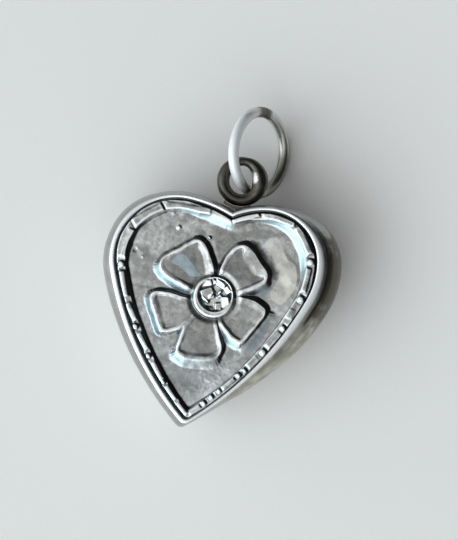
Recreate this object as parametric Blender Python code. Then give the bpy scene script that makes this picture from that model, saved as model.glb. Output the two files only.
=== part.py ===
"""Puffy heart pendant in silver: a domed, hollow back shell closed by a struck front plate, an eyelet
soldered at the notch, and an open jump ring that hangs in the eyelet.

The pendant lies on its back. The flat land under the dome is the plane z = 0, +Z points out of the
decorated face and +Y runs from the flower to the eyelet. Sizes are in millimetres and angles in degrees;
meshes are scaled to metres when they are made.
"""

import math
from dataclasses import dataclass

import bmesh
import bpy
from mathutils import Matrix, Vector

MM = 0.001


# Heart outline: the seam line between plate and shell

@dataclass(frozen=True)
class Half:
    """One half of the heart, from the notch round the lobe to the tip, as arcs that run on smoothly.

    The three arcs are the shoulder by the notch, the lobe and the flank, with radii as shares of the heart's
    length. A fourth arc, worked out to meet the tip, closes the half. The bulges say how far the shell stands
    out past the outline at the notch, after each of the three arcs and at the tip.
    """

    heading: float
    radii: tuple
    sweeps: tuple
    bulges: tuple


HEART_LENGTH = 14.98
NOTCH_SHARE = 0.4139
RIGHT_HALF = Half(35.5, (0.3872, 0.2470, 0.3738), (26.0, 91.0, 26.0), (0.45, 0.50, 1.70, 1.72, 0.30))
LEFT_HALF = Half(19.5, (0.6575, 0.2971, 0.2804), (19.5, 76.5, 35.5), (0.45, 0.55, 1.00, 1.15, 0.95))
TIP_ROUNDING = 0.45
ARC_STEPS = (5, 14, 6, 14)
TIP_STEPS = 3

# Body of the shell
BODY_THICKNESS = 6.40
EQUATOR_HEIGHT = 4.20
SHELL_WALL = 0.40
LAND_SHARE = 0.40
LIP_WIDTH = 0.16
LIP_CHAMFER = 0.06
SHOULDER_STEPS = 6
DOME_STEPS = 7

# Front plate
PLATE_GAP = 0.08
PLATE_SHEET = 0.40
RECESS_DEPTH = 0.48
EDGE_DROP = 0.24
EDGE_SLOPE = 0.17
BAND_WIDTH = 0.60
BAND_CROWN = 0.05
BAND_SINK = 0.03
STEP_WIDTH = 0.24
BEAD_PLACES = (0.051, 0.108, 0.170, 0.229, 0.288, 0.334, 0.383, 0.455, 0.517, 0.552, 0.598, 0.650, 0.697,
               0.752, 0.825, 0.889, 0.941, 0.995)
BEAD_DIAMETER = 0.46
BEAD_RISE = 0.08
BEAD_SEGMENTS = 10
BEAD_RINGS = 6

# Ledge that carries the plate, and the solder between them
LEDGE_WIDTH = 0.50
SOLDER_SHEET = 0.08
SOLDER_GAP = 0.03
SOLDER_INSET = 0.06


@dataclass(frozen=True)
class Petal:
    """One petal: its direction from the flower's centre, its reach and half its width at the outer edge."""

    angle: float
    reach: float
    spread: float


# Flower struck in the plate
FLOWER_X = -0.03
FLOWER_Y = 0.27
PETALS = (
    Petal(54.0, 4.00, 1.53),
    Petal(138.5, 3.92, 1.75),
    Petal(206.5, 3.98, 1.45),
    Petal(269.0, 4.12, 1.55),
    Petal(338.5, 3.68, 1.45),
)
PETAL_ROOT = 1.35
PETAL_ROOT_SPREAD = 0.92
PETAL_CORNER = 0.45
PETAL_LEAST_CORNER = 0.05
PETAL_CORNER_STEPS = 4
PETAL_RISE = 0.34
PETAL_FLOOR_RISE = 0.07
PETAL_RIDGE = 0.14
PETAL_OUTER_SLOPE = 0.34
PETAL_INNER_SLOPE = 0.26
BOSS_DIAMETER = 2.90
BOSS_RISE = 0.46
BOSS_RIM = 0.26
BOSS_ROUNDING = 0.09
BOSS_FLOOR_RISE = 0.20
BOSS_FOOT = 0.16
BOSS_SEGMENTS = 32
STAR_POINTS = 6
STAR_TURN = 20.0
STAR_RADIUS = 0.95
STAR_WAIST = 0.48
STAR_RISE = 0.42
STAR_CROWN = 0.14
ROOT_DEPTH = 0.15
FOOT_RISE = 0.02

# Eyelet, jump ring and the solder that carries the eyelet
RING_DIAMETER = 6.74
RING_WIRE = 0.78
RING_CUT = 0.05
RING_PLAY = 1.15
RING_TURN = 7.3
RING_SLIDE = 34.0
RING_HOLE_OFFSET = 0.25
RING_SEGMENTS = 64
EYELET_WIRE = 0.90
EYELET_STAND_OFF = 0.38
EYELET_DROP = 2.15
EYELET_SEGMENTS = 40
WIRE_SIDES = 14
HINGE_FORWARD = 0.50
HINGE_RISE = 0.20
WEB_HALF_WIDTH = 0.95
WEB_HEIGHT = 0.86
WEB_GAP = 0.05
WEB_STEPS = 12
WEB_LEAST = 0.06


@dataclass(frozen=True)
class Finish:
    """One silver finish: its name, base colour and roughness."""

    name: str
    colour: tuple
    roughness: float


# Finishes
BODY_SILVER = Finish("body_silver", (0.42, 0.41, 0.39), 0.38)
STRUCK_SILVER = Finish("struck_silver", (0.40, 0.41, 0.42), 0.34)
SOLDER_SILVER = Finish("solder_silver", (0.30, 0.29, 0.27), 0.45)
DARK_SILVER = Finish("dark_silver", (0.22, 0.21, 0.19), 0.36)
BRIGHT_SILVER = Finish("bright_silver", (0.62, 0.62, 0.61), 0.24)
SHARP_ANGLE = 35.0


# Geometry helpers

def on_circle(centre, radius, angle):
    """Return the point of a circle at an angle in radians."""
    return centre + radius * Vector((math.cos(angle), math.sin(angle)))


def angle_of(vector):
    """Return a plane vector's angle in radians."""
    return math.atan2(vector.y, vector.x)


def ease(share):
    """Run smoothly from 0 to 1."""
    return 0.5 - 0.5 * math.cos(math.pi * share)


def circles_meet(centre_a, radius_a, centre_b, radius_b, near):
    """Return where two circles cross, on the side of a given point."""
    between = centre_b - centre_a
    distance = between.length
    along = (distance ** 2 + radius_a ** 2 - radius_b ** 2) / (2 * distance)
    across = math.sqrt(max(radius_a ** 2 - along ** 2, 0.0))
    foot = centre_a + between * (along / distance)
    side = Vector((-between.y, between.x)) / distance
    return min((foot + side * across, foot - side * across), key=lambda point: (point - near).length)


class HeartOutline:
    """The seam line of the heart, and the rings of points that lie beside it."""

    def __init__(self):
        self.notch = Vector((0.0, HEART_LENGTH * NOTCH_SHARE))
        self.tip = Vector((0.0, self.notch.y - HEART_LENGTH))
        self.right = self.arcs(RIGHT_HALF)
        self.left = self.arcs(LEFT_HALF)

    def arcs(self, half):
        """Return a half's four arcs as centre, radius, start, end and the bulges at both ends."""
        heading = math.radians(half.heading)
        point = self.notch.copy()
        found = []
        for index, (share, sweep) in enumerate(zip(half.radii, half.sweeps)):
            radius = HEART_LENGTH * share
            centre = point + radius * Vector((math.sin(heading), -math.cos(heading)))
            start = angle_of(point - centre)
            end = start - math.radians(sweep)
            found.append((centre, radius, start, end, half.bulges[index], half.bulges[index + 1]))
            point = on_circle(centre, radius, end)
            heading -= math.radians(sweep)
        chord = self.tip - point
        tangent = Vector((math.cos(heading), math.sin(heading)))
        radius = chord.length_squared / (2 * (chord.x * tangent.y - chord.y * tangent.x))
        centre = point + radius * Vector((tangent.y, -tangent.x))
        start = angle_of(point - centre)
        end = angle_of(self.tip - centre)
        found.append((centre, radius, start, end, half.bulges[-2], half.bulges[-1]))
        return found

    def corner(self, index, near, offset_at):
        """Return where the two halves' offset arcs cross, at the notch (0) or at the tip (-1)."""
        circles = []
        for side, arcs in ((1, self.right), (-1, self.left)):
            centre, radius = arcs[index][:2]
            bulge = arcs[index][4 if index == 0 else 5]
            circles += [Vector((side * centre.x, centre.y)), radius + offset_at(bulge)]
        return circles_meet(*circles, near)

    def half_points(self, arcs, side, notch, tip, offset_at):
        """Return one half's points from the notch to where the tip's rounding starts."""
        points = [notch]
        for index, (centre, radius, start, end, first_bulge, last_bulge) in enumerate(arcs):
            if index == 0:
                start = angle_of(Vector((side * notch.x, notch.y)) - centre)
            if index == len(arcs) - 1:
                end = angle_of(Vector((side * tip.x, tip.y)) - centre) + TIP_ROUNDING / radius
            for step in range(1, ARC_STEPS[index] + 1):
                share = step / ARC_STEPS[index]
                offset = offset_at(first_bulge + (last_bulge - first_bulge) * ease(share))
                point = on_circle(centre, radius + offset, start + (end - start) * share)
                points.append(Vector((side * point.x, point.y)))
        return points

    def ring(self, base, share=0.0, inset=0.0):
        """Return a closed ring beside the outline, clockwise from the notch.

        It lies at the base offset where share is 0 and at the shell's bulge, less the inset, where it is 1.
        """
        def offset_at(bulge):
            return base + (bulge - inset - base) * share

        notch = self.corner(0, self.notch, offset_at)
        tip = self.corner(-1, self.tip, offset_at)
        right = self.half_points(self.right, 1, notch, tip, offset_at)
        left = self.half_points(self.left, -1, notch, tip, offset_at)
        rounding = []
        for step in range(1, TIP_STEPS + 1):
            t = step / (TIP_STEPS + 1)
            rounding.append(right[-1] * (1 - t) ** 2 + tip * 2 * t * (1 - t) + left[-1] * t ** 2)
        return right + rounding + left[:0:-1]


HEART = HeartOutline()


# Mesh helpers

def stack_rings(rings):
    """Return a closed bmesh of rings that are joined in order, with a flat cap on the first and the last."""
    mesh = bmesh.new()
    loops = [[mesh.verts.new(point) for point in ring] for ring in rings]
    for lower, upper in zip(loops, loops[1:]):
        for index in range(len(lower)):
            after = (index + 1) % len(lower)
            mesh.faces.new((lower[index], lower[after], upper[after], upper[index]))
    mesh.faces.new(loops[0][::-1])
    mesh.faces.new(loops[-1])
    bmesh.ops.recalc_face_normals(mesh, faces=mesh.faces)
    return mesh


def join_meshes(meshes):
    """Return one bmesh that holds several."""
    joined = bmesh.new()
    for mesh in meshes:
        part = bpy.data.meshes.new("part")
        mesh.to_mesh(part)
        mesh.free()
        joined.from_mesh(part)
        bpy.data.meshes.remove(part)
    return joined


def raised(points, height):
    """Return plane points as space points at one height."""
    return [Vector((point.x, point.y, height)) for point in points]


def ring_wire(diameter, wire, segments, cut=0.0):
    """Return a round wire bent to a ring in the XY plane, by its mean diameter, closed or with a cut."""
    mesh = bmesh.new()
    section = bmesh.ops.create_circle(mesh, segments=WIRE_SIDES, radius=wire / 2, cap_ends=cut > 0)["verts"]
    bmesh.ops.rotate(mesh, verts=section, cent=(0, 0, 0), matrix=Matrix.Rotation(math.pi / 2, 3, "X"))
    bmesh.ops.translate(mesh, verts=section, vec=(diameter / 2, 0, 0))
    cut_angle = cut / (diameter / 2)
    bmesh.ops.rotate(mesh, verts=section, cent=(0, 0, 0), matrix=Matrix.Rotation(cut_angle / 2, 3, "Z"))
    bmesh.ops.spin(mesh, geom=mesh.verts[:] + mesh.edges[:] + mesh.faces[:], cent=(0, 0, 0), axis=(0, 0, 1),
                   angle=2 * math.pi - cut_angle, steps=segments, use_merge=cut == 0)
    bmesh.ops.recalc_face_normals(mesh, faces=mesh.faces)
    return mesh


def silver(finish):
    """Return the material of a finish."""
    material = bpy.data.materials.new(finish.name)
    material.use_nodes = True
    shader = material.node_tree.nodes["Principled BSDF"]
    shader.inputs["Base Color"].default_value = (*finish.colour, 1.0)
    shader.inputs["Metallic"].default_value = 1.0
    shader.inputs["Roughness"].default_value = finish.roughness
    return material


def add_object(name, mesh, material, origin=Vector()):
    """Add a bmesh in millimetres as an object in metres, with its origin at a point given in millimetres."""
    bmesh.ops.translate(mesh, verts=mesh.verts, vec=-origin)
    bmesh.ops.scale(mesh, verts=mesh.verts, vec=(MM, MM, MM))
    data = bpy.data.meshes.new(name)
    mesh.to_mesh(data)
    mesh.free()
    data.shade_smooth()
    data.set_sharp_from_angle(angle=math.radians(SHARP_ANGLE))
    data.materials.append(material)
    item = bpy.data.objects.new(name, data)
    item.location = origin * MM
    bpy.context.collection.objects.link(item)
    return item


def add_union(item, name, mesh):
    """Join a closed shape to an object with a live Boolean, and hide the shape."""
    tool = add_object(name, mesh, item.data.materials[0])
    tool.hide_render = True
    tool.display_type = "WIRE"
    union = item.modifiers.new(name, "BOOLEAN")
    union.operation = "UNION"
    union.solver = "EXACT"
    union.object = tool


# Heights that pieces share
PLATE_TOP = BODY_THICKNESS - BAND_SINK
FIELD_HEIGHT = PLATE_TOP - RECESS_DEPTH
PLATE_BOTTOM = FIELD_HEIGHT - PLATE_SHEET
LEDGE_HEIGHT = PLATE_BOTTOM - SOLDER_SHEET - 2 * SOLDER_GAP
EYELET_HEIGHT = BODY_THICKNESS - EYELET_DROP


# Back shell

def shoulder_ring(turn):
    """Return a ring of the outer wall: turn runs from 0 at the lip to 1 at the widest line."""
    angle = turn * math.pi / 2
    height = EQUATOR_HEIGHT + (BODY_THICKNESS - EQUATOR_HEIGHT) * math.cos(angle)
    return raised(HEART.ring(LIP_WIDTH, math.sin(angle)), height)


def dome_ring(widest, turn, floor):
    """Return a ring of a dome under its widest ring: turn runs from 0 there to 1 at the flat land."""
    angle = turn * math.pi / 2
    scale = LAND_SHARE + (1 - LAND_SHARE) * math.cos(angle)
    height = floor + (EQUATOR_HEIGHT - floor) * (1 - math.sin(angle))
    return raised([point * scale for point in widest], height)


def back_shell(material):
    """Add the shell: outside from the land up to the lip, then inside from the ledge down to the floor."""
    widest = HEART.ring(LIP_WIDTH, 1.0)
    rings = [dome_ring(widest, 1 - step / DOME_STEPS, 0.0) for step in range(DOME_STEPS)]
    rings += [shoulder_ring(1 - step / SHOULDER_STEPS) for step in range(SHOULDER_STEPS + 1)]
    rings.append(raised(HEART.ring(LIP_CHAMFER), BODY_THICKNESS))
    rings.append(raised(HEART.ring(0.0), BODY_THICKNESS - LIP_CHAMFER))
    rings.append(raised(HEART.ring(0.0), LEDGE_HEIGHT))
    rings.append(raised(HEART.ring(-LEDGE_WIDTH), LEDGE_HEIGHT))
    cavity = HEART.ring(-LEDGE_WIDTH, 1.0, SHELL_WALL)
    rings += [dome_ring(cavity, step / DOME_STEPS, SHELL_WALL) for step in range(DOME_STEPS + 1)]
    return add_object("back_shell", stack_rings(rings), material)


# Front plate

def plate_blank():
    """Return the plate without its flower and beads, from the flat back to the recessed field."""
    edge = -PLATE_GAP
    band_outer = edge - EDGE_SLOPE
    band_inner = band_outer - BAND_WIDTH
    section = (
        (edge, PLATE_BOTTOM),
        (edge, PLATE_TOP - EDGE_DROP),
        (band_outer, PLATE_TOP - BAND_CROWN),
        (band_outer - BAND_WIDTH / 2, PLATE_TOP),
        (band_inner, PLATE_TOP - BAND_CROWN),
        (band_inner - STEP_WIDTH, FIELD_HEIGHT),
    )
    return stack_rings([raised(HEART.ring(offset), height) for offset, height in section])


def point_along(points, share):
    """Return the point of a closed line at a share of its length."""
    after_all = points[1:] + points[:1]
    left = share * sum((after - before).length for before, after in zip(points, after_all))
    for before, after in zip(points, after_all):
        length = (after - before).length
        if left <= length:
            return before.lerp(after, left / length)
        left -= length
    return points[0]


def band_beads():
    """Return the small round beads on the border band, placed by their shares of its length."""
    middle = HEART.ring(-PLATE_GAP - EDGE_SLOPE - BAND_WIDTH / 2)
    centre_height = PLATE_TOP + BEAD_RISE - BEAD_DIAMETER / 2
    beads = []
    for share in BEAD_PLACES:
        place = point_along(middle, share)
        bead = bmesh.new()
        bmesh.ops.create_uvsphere(bead, u_segments=BEAD_SEGMENTS, v_segments=BEAD_RINGS,
                                  radius=BEAD_DIAMETER / 2,
                                  matrix=Matrix.Translation((place.x, place.y, centre_height)))
        beads.append(bead)
    return join_meshes(beads)


def petal_outline(petal, offset):
    """Return a petal's ridge line grown by an offset: a wedge with a narrow root and rounded corners."""
    lower = PETAL_ROOT - offset
    upper = petal.reach + offset
    slope = (petal.spread - PETAL_ROOT_SPREAD) / (petal.reach - PETAL_ROOT)
    side_offset = offset * math.hypot(1.0, slope)

    def half_width(along):
        return PETAL_ROOT_SPREAD + slope * (along - PETAL_ROOT) + side_offset

    corner = max(PETAL_CORNER + offset, PETAL_LEAST_CORNER)
    tangent = corner / math.hypot(1.0, slope)
    half = [Vector((lower, half_width(lower)))]
    leave = Vector((upper - tangent, half_width(upper - tangent)))
    peak = Vector((upper, half_width(upper)))
    arrive = Vector((upper, half_width(upper) - corner))
    for step in range(PETAL_CORNER_STEPS + 1):
        t = step / PETAL_CORNER_STEPS
        half.append(leave * (1 - t) ** 2 + peak * 2 * t * (1 - t) + arrive * t ** 2)
    outline = [Vector((point.x, -point.y)) for point in half] + half[::-1]
    turn = Matrix.Rotation(math.radians(petal.angle), 2)
    return [turn @ point + Vector((FLOWER_X, FLOWER_Y)) for point in outline]


def petal_shape(petal):
    """Return a petal as a raised rim round a low floor, with its root in the plate."""
    top = FIELD_HEIGHT + PETAL_RISE
    section = (
        (PETAL_OUTER_SLOPE, FIELD_HEIGHT - ROOT_DEPTH),
        (PETAL_OUTER_SLOPE, FIELD_HEIGHT + FOOT_RISE),
        (PETAL_RIDGE / 2, top),
        (-PETAL_RIDGE / 2, top),
        (-PETAL_RIDGE / 2 - PETAL_INNER_SLOPE, FIELD_HEIGHT + PETAL_FLOOR_RISE),
    )
    return stack_rings([raised(petal_outline(petal, offset), height) for offset, height in section])


def boss_shape():
    """Return the round cup at the flower's centre, with a faceted star standing in it."""
    radius = BOSS_DIAMETER / 2
    floor = FIELD_HEIGHT + BOSS_FLOOR_RISE
    top = FIELD_HEIGHT + BOSS_RISE
    section = (
        (radius + BOSS_FOOT, FIELD_HEIGHT - ROOT_DEPTH),
        (radius + BOSS_FOOT, FIELD_HEIGHT + FOOT_RISE),
        (radius, top - BOSS_ROUNDING),
        (radius - BOSS_ROUNDING, top),
        (radius - BOSS_RIM, top - BOSS_ROUNDING),
        (radius - BOSS_RIM, floor),
    )
    centre = Vector((FLOWER_X, FLOWER_Y))
    turns = [2 * math.pi * step / BOSS_SEGMENTS for step in range(BOSS_SEGMENTS)]
    return stack_rings([raised([on_circle(centre, size, turn) for turn in turns], height)
                        for size, height in section])


def star_shape():
    """Return the star: points that slope to a small crown, with its root in the cup's floor."""
    floor = FIELD_HEIGHT + BOSS_FLOOR_RISE
    centre = Vector((FLOWER_X, FLOWER_Y))
    turns = [math.radians(STAR_TURN) + math.pi * step / STAR_POINTS for step in range(2 * STAR_POINTS)]
    spans = [STAR_RADIUS if step % 2 == 0 else STAR_WAIST for step in range(2 * STAR_POINTS)]
    foot = [on_circle(centre, span, turn) for span, turn in zip(spans, turns)]
    crown = [on_circle(centre, STAR_CROWN, turn) for turn in turns]
    return stack_rings([
        raised(foot, floor - ROOT_DEPTH),
        raised(foot, floor + FOOT_RISE),
        raised(crown, FIELD_HEIGHT + STAR_RISE),
    ])


def front_plate(material):
    """Add the plate and strike its beads, petals, cup and star in it."""
    plate = add_object("front_plate", plate_blank(), material)
    add_union(plate, "beads", band_beads())
    for number, petal in enumerate(PETALS, start=1):
        add_union(plate, f"petal_{number}", petal_shape(petal))
    add_union(plate, "boss", boss_shape())
    add_union(plate, "star", star_shape())
    return plate


def plate_solder(material):
    """Add the frame of solder that lies on the ledge under the plate's edge."""
    lower = LEDGE_HEIGHT + SOLDER_GAP
    upper = lower + SOLDER_SHEET
    outer = HEART.ring(-SOLDER_INSET)
    inner = HEART.ring(-LEDGE_WIDTH + SOLDER_INSET)
    mesh = bmesh.new()
    loops = [[mesh.verts.new(point) for point in raised(ring, height)]
             for ring, height in ((outer, lower), (outer, upper), (inner, upper), (inner, lower))]
    for first, second in zip(loops, loops[1:] + loops[:1]):
        for index in range(len(first)):
            after = (index + 1) % len(first)
            mesh.faces.new((first[index], first[after], second[after], second[index]))
    bmesh.ops.recalc_face_normals(mesh, faces=mesh.faces)
    return add_object("plate_solder", mesh, material)


# Eyelet and jump ring

def eyelet_centre():
    """Return the eyelet's centre, which stands off the notch of the shell's widest line."""
    notch = HEART.ring(LIP_WIDTH, 1.0)[0]
    return Vector((notch.x, notch.y + EYELET_STAND_OFF + EYELET_WIRE + (RING_WIRE + RING_PLAY) / 2,
                   EYELET_HEIGHT))


def eyelet(material):
    """Add the closed wire ring at the notch, whose hole the jump ring passes with its play."""
    mean_diameter = RING_WIRE + RING_PLAY + EYELET_WIRE
    mesh = ring_wire(mean_diameter, EYELET_WIRE, EYELET_SEGMENTS)
    centre = eyelet_centre()
    bmesh.ops.translate(mesh, verts=mesh.verts, vec=centre)
    return add_object("eyelet", mesh, material, centre)


def line_height(points, x):
    """Return the y at which a ring's notch side crosses a given x."""
    count = len(points)
    step = 1 if x >= 0 else -1
    index = 0
    while index * step < count // 4 and (points[(index + step) % count].x - x) * step < 0:
        index += step
    before = points[index % count]
    after = points[(index + step) % count]
    return before.y + (after.y - before.y) * (x - before.x) / (after.x - before.x)


def eyelet_solder(material):
    """Add the web of solder that fills the notch under the eyelet."""
    centre = eyelet_centre()
    outer_radius = (RING_WIRE + RING_PLAY) / 2 + EYELET_WIRE
    wall = HEART.ring(LIP_WIDTH, 1.0)
    lower = []
    upper = []
    for step in range(-WEB_STEPS, WEB_STEPS + 1):
        x = centre.x + WEB_HALF_WIDTH * step / WEB_STEPS
        low = line_height(wall, x) + WEB_GAP
        reach = (outer_radius + WEB_GAP) ** 2 - (x - centre.x) ** 2
        high = centre.y - math.sqrt(max(reach, 0.0))
        lower.append(Vector((x, low)))
        upper.append(Vector((x, max(high, low + WEB_LEAST))))
    outline = lower + upper[::-1]
    half = WEB_HEIGHT / 2
    mesh = stack_rings([raised(outline, EYELET_HEIGHT - half), raised(outline, EYELET_HEIGHT + half)])
    return add_object("eyelet_solder", mesh, material)


def jump_ring(material):
    """Add the open ring, which passes the eyelet's hole and leans until it touches the surface."""
    radius = RING_DIAMETER / 2 - RING_WIRE / 2
    passing = eyelet_centre() - Vector((0.0, RING_HOLE_OFFSET, 0.0))
    slide = math.radians(RING_SLIDE)
    lean = math.asin(min((EYELET_HEIGHT - RING_WIRE / 2) / (radius * (1 + math.sin(slide))), 1.0))
    turn = math.radians(RING_TURN)
    level = Vector((-math.sin(turn), math.cos(turn), 0.0))
    fall = Vector((math.cos(lean) * math.cos(turn), math.cos(lean) * math.sin(turn), -math.sin(lean)))
    centre = passing + radius * (math.cos(slide) * level + math.sin(slide) * fall)
    normal = fall.cross(level)
    frame = Matrix((level, -fall, normal.normalized())).transposed()
    mesh = ring_wire(2 * radius, RING_WIRE, RING_SEGMENTS, RING_CUT)
    bmesh.ops.rotate(mesh, verts=mesh.verts, cent=(0, 0, 0), matrix=frame)
    bmesh.ops.translate(mesh, verts=mesh.verts, vec=centre)
    bmesh.ops.recalc_face_normals(mesh, faces=mesh.faces)
    hinge = eyelet_centre() + Vector((0.0, HINGE_FORWARD, HINGE_RISE))
    return add_object("jump_ring", mesh, material, hinge)


def main():
    """Clear the scene and add every piece of the pendant."""
    for item in list(bpy.data.objects):
        bpy.data.objects.remove(item, do_unlink=True)
    solder = silver(SOLDER_SILVER)
    back_shell(silver(BODY_SILVER))
    front_plate(silver(STRUCK_SILVER))
    plate_solder(solder)
    eyelet(silver(DARK_SILVER))
    eyelet_solder(solder)
    jump_ring(silver(BRIGHT_SILVER))


main()
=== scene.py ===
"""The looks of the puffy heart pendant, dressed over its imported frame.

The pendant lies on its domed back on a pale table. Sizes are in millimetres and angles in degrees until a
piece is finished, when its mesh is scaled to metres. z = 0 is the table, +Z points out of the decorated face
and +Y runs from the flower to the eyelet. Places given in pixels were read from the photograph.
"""

import logging
import math
from dataclasses import dataclass, field
from enum import Enum
from typing import Callable, Iterable, Sequence

import bmesh
import bpy
import numpy as np
from mathutils import Matrix, Vector, noise


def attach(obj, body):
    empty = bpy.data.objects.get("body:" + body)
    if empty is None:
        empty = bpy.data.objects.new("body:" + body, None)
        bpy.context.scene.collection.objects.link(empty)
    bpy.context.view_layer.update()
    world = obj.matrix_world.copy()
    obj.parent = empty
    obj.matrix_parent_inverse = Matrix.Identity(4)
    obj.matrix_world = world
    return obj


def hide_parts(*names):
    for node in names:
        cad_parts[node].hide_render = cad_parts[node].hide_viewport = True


LOG = logging.getLogger("heart_pendant")
MM = 0.001

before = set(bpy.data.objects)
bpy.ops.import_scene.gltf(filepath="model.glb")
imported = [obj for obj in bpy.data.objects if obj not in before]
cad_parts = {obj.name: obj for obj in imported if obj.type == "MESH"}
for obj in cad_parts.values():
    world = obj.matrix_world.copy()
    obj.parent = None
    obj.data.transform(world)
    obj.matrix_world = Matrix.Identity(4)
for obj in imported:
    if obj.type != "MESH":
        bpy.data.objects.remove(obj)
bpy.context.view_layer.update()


class Slot(Enum):
    """The record's material slots."""

    BODY = "body_silver"
    STRUCK = "struck_silver"
    SOLDER = "solder_silver"
    DARK = "dark_silver"
    BRIGHT = "bright_silver"


class Body(Enum):
    """The two bodies that move against each other."""

    PENDANT = "pendant"
    RING = "ring"


# Sizes and directions that several pieces share

THICKNESS = 6.40
EYELET_CENTRE = (-0.0681, 8.9438, 4.25)
LAMP_PLAN = (-0.670, -0.742)


# Places read from the photograph

@dataclass(frozen=True)
class PhotoView:
    """How the photograph, 458 by 540 pixels, looks down on the pendant: its scale, middle, turn and tilt."""

    pixels_per_mm: float = 14.0
    middle: tuple = (213.04, 301.16)
    roll: float = 12.94
    tilt: float = 5.0
    distance: float = 150.0
    front: float = THICKNESS

    def place(self, pixel: tuple, height: float) -> tuple:
        """Return where the line of sight through a pixel meets a height above the table.

        Args:
            pixel: The pixel, across and down, as read.
            height: The height.

        Returns:
            The place's x and y, to a hundredth of a millimetre.
        """
        roll, tilt = math.radians(self.roll), math.radians(self.tilt)
        across = (pixel[0] - self.middle[0]) / self.pixels_per_mm
        up = (self.middle[1] - pixel[1]) / self.pixels_per_mm
        x = across * math.cos(roll) - up * math.sin(roll)
        y = across * math.sin(roll) + up * math.cos(roll)
        aside, above = self.distance * math.sin(tilt), self.distance * math.cos(tilt)
        reach = (self.front + above - height) / (x * math.sin(tilt) + above)
        return round(aside + reach * (x * math.cos(tilt) - aside), 2), round(reach * y, 2)

    def line(self, pixels: Iterable[tuple], height: float) -> tuple:
        """Return the places of several pixels at one height."""
        return tuple(self.place(pixel, height) for pixel in pixels)


PHOTO = PhotoView()

# Heights at which places on the band, on the petals' ridges and on the field were read
BAND_HEIGHT = 6.37
RIDGE_HEIGHT = 6.20
FIELD_HEIGHT = 5.90


def on_band(across: float, down: float, aside: float = 0.0) -> tuple:
    """Return the place on the border band that a pixel shows, moved aside to sit where the band runs."""
    x, y = PHOTO.place((across, down), BAND_HEIGHT)
    return round(x + aside, 2), y


def on_field(across: float, down: float) -> tuple:
    """Return the place on the recessed field that a pixel shows."""
    return PHOTO.place((across, down), FIELD_HEIGHT)


# Shader nodes

class Value:
    """A socket that Python operators work on."""

    def __init__(self, nodes: "Nodes", socket: bpy.types.NodeSocket) -> None:
        """Keep the socket and the tree that it belongs to."""
        self.nodes = nodes
        self.socket = socket

    def __add__(self, other: "Value | float") -> "Value":
        """Return the sum."""
        return self.nodes.math("ADD", self, other)

    __radd__ = __add__

    def __sub__(self, other: "Value | float") -> "Value":
        """Return the difference."""
        return self.nodes.math("SUBTRACT", self, other)

    def __rsub__(self, other: float) -> "Value":
        """Return the difference from a number."""
        return self.nodes.math("SUBTRACT", other, self)

    def __mul__(self, other: "Value | float") -> "Value":
        """Return the product."""
        return self.nodes.math("MULTIPLY", self, other)

    __rmul__ = __mul__

    def most(self, other: "Value | float") -> "Value":
        """Return the larger of the two."""
        return self.nodes.math("MAXIMUM", self, other)

    def rise(self, low: float, high: float) -> "Value":
        """Return a smooth step from 0 at low to 1 at high.

        Args:
            low: The value at which the step starts.
            high: The value at which it ends, which may be the smaller of the two.

        Returns:
            The step, from 0 to 1.
        """
        return self.nodes.add("ShaderNodeMapRange", {"interpolation_type": "SMOOTHSTEP"},
                               {"Value": self, "From Min": low, "From Max": high}, "Result")


class Nodes:
    """A node tree while its nodes are laid."""

    def __init__(self, tree: bpy.types.NodeTree, coordinate: str) -> None:
        """Keep the tree and start with the coordinate that its patterns lie on."""
        self.tree = tree
        self.place = self.add("ShaderNodeTexCoord", {}, {}, coordinate)

    def add(self, kind: str, settings: dict, sockets: dict, output: str | int) -> Value:
        """Add a node.

        Args:
            kind: The node's type.
            settings: Properties that are set first, and the stops of a ramp.
            sockets: Values or links of its sockets, by name or place.
            output: The output that is returned, by name or place.

        Returns:
            The output socket, ready for operators.
        """
        node = self.tree.nodes.new(kind)
        for name, setting in settings.items():
            setattr(node, name, setting)
        for name, value in sockets.items():
            if isinstance(value, Value):
                self.tree.links.new(value.socket, node.inputs[name])
            else:
                node.inputs[name].default_value = value
        return Value(self, node.outputs[output])

    def math(self, operation: str, first: "Value | float", second: "Value | float") -> Value:
        """Return a Math node's result on two values."""
        return self.add("ShaderNodeMath", {"operation": operation}, {0: first, 1: second}, 0)

    def blend(self, share: Value, first: "Value | tuple", second: "Value | tuple") -> Value:
        """Return a mix of two colours, the second where the share is 1."""
        first, second = (one if isinstance(one, Value) else (*one, 1.0) for one in (first, second))
        return self.add("ShaderNodeMix", {"data_type": "RGBA"}, {0: share, 6: first, 7: second}, 2)


@dataclass(frozen=True)
class Clouds:
    """A cloudy noise: the size of its lumps in millimetres, its finer layers and how far it is warped."""

    size: float
    detail: float = 3.0
    distortion: float = 0.0


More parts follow.
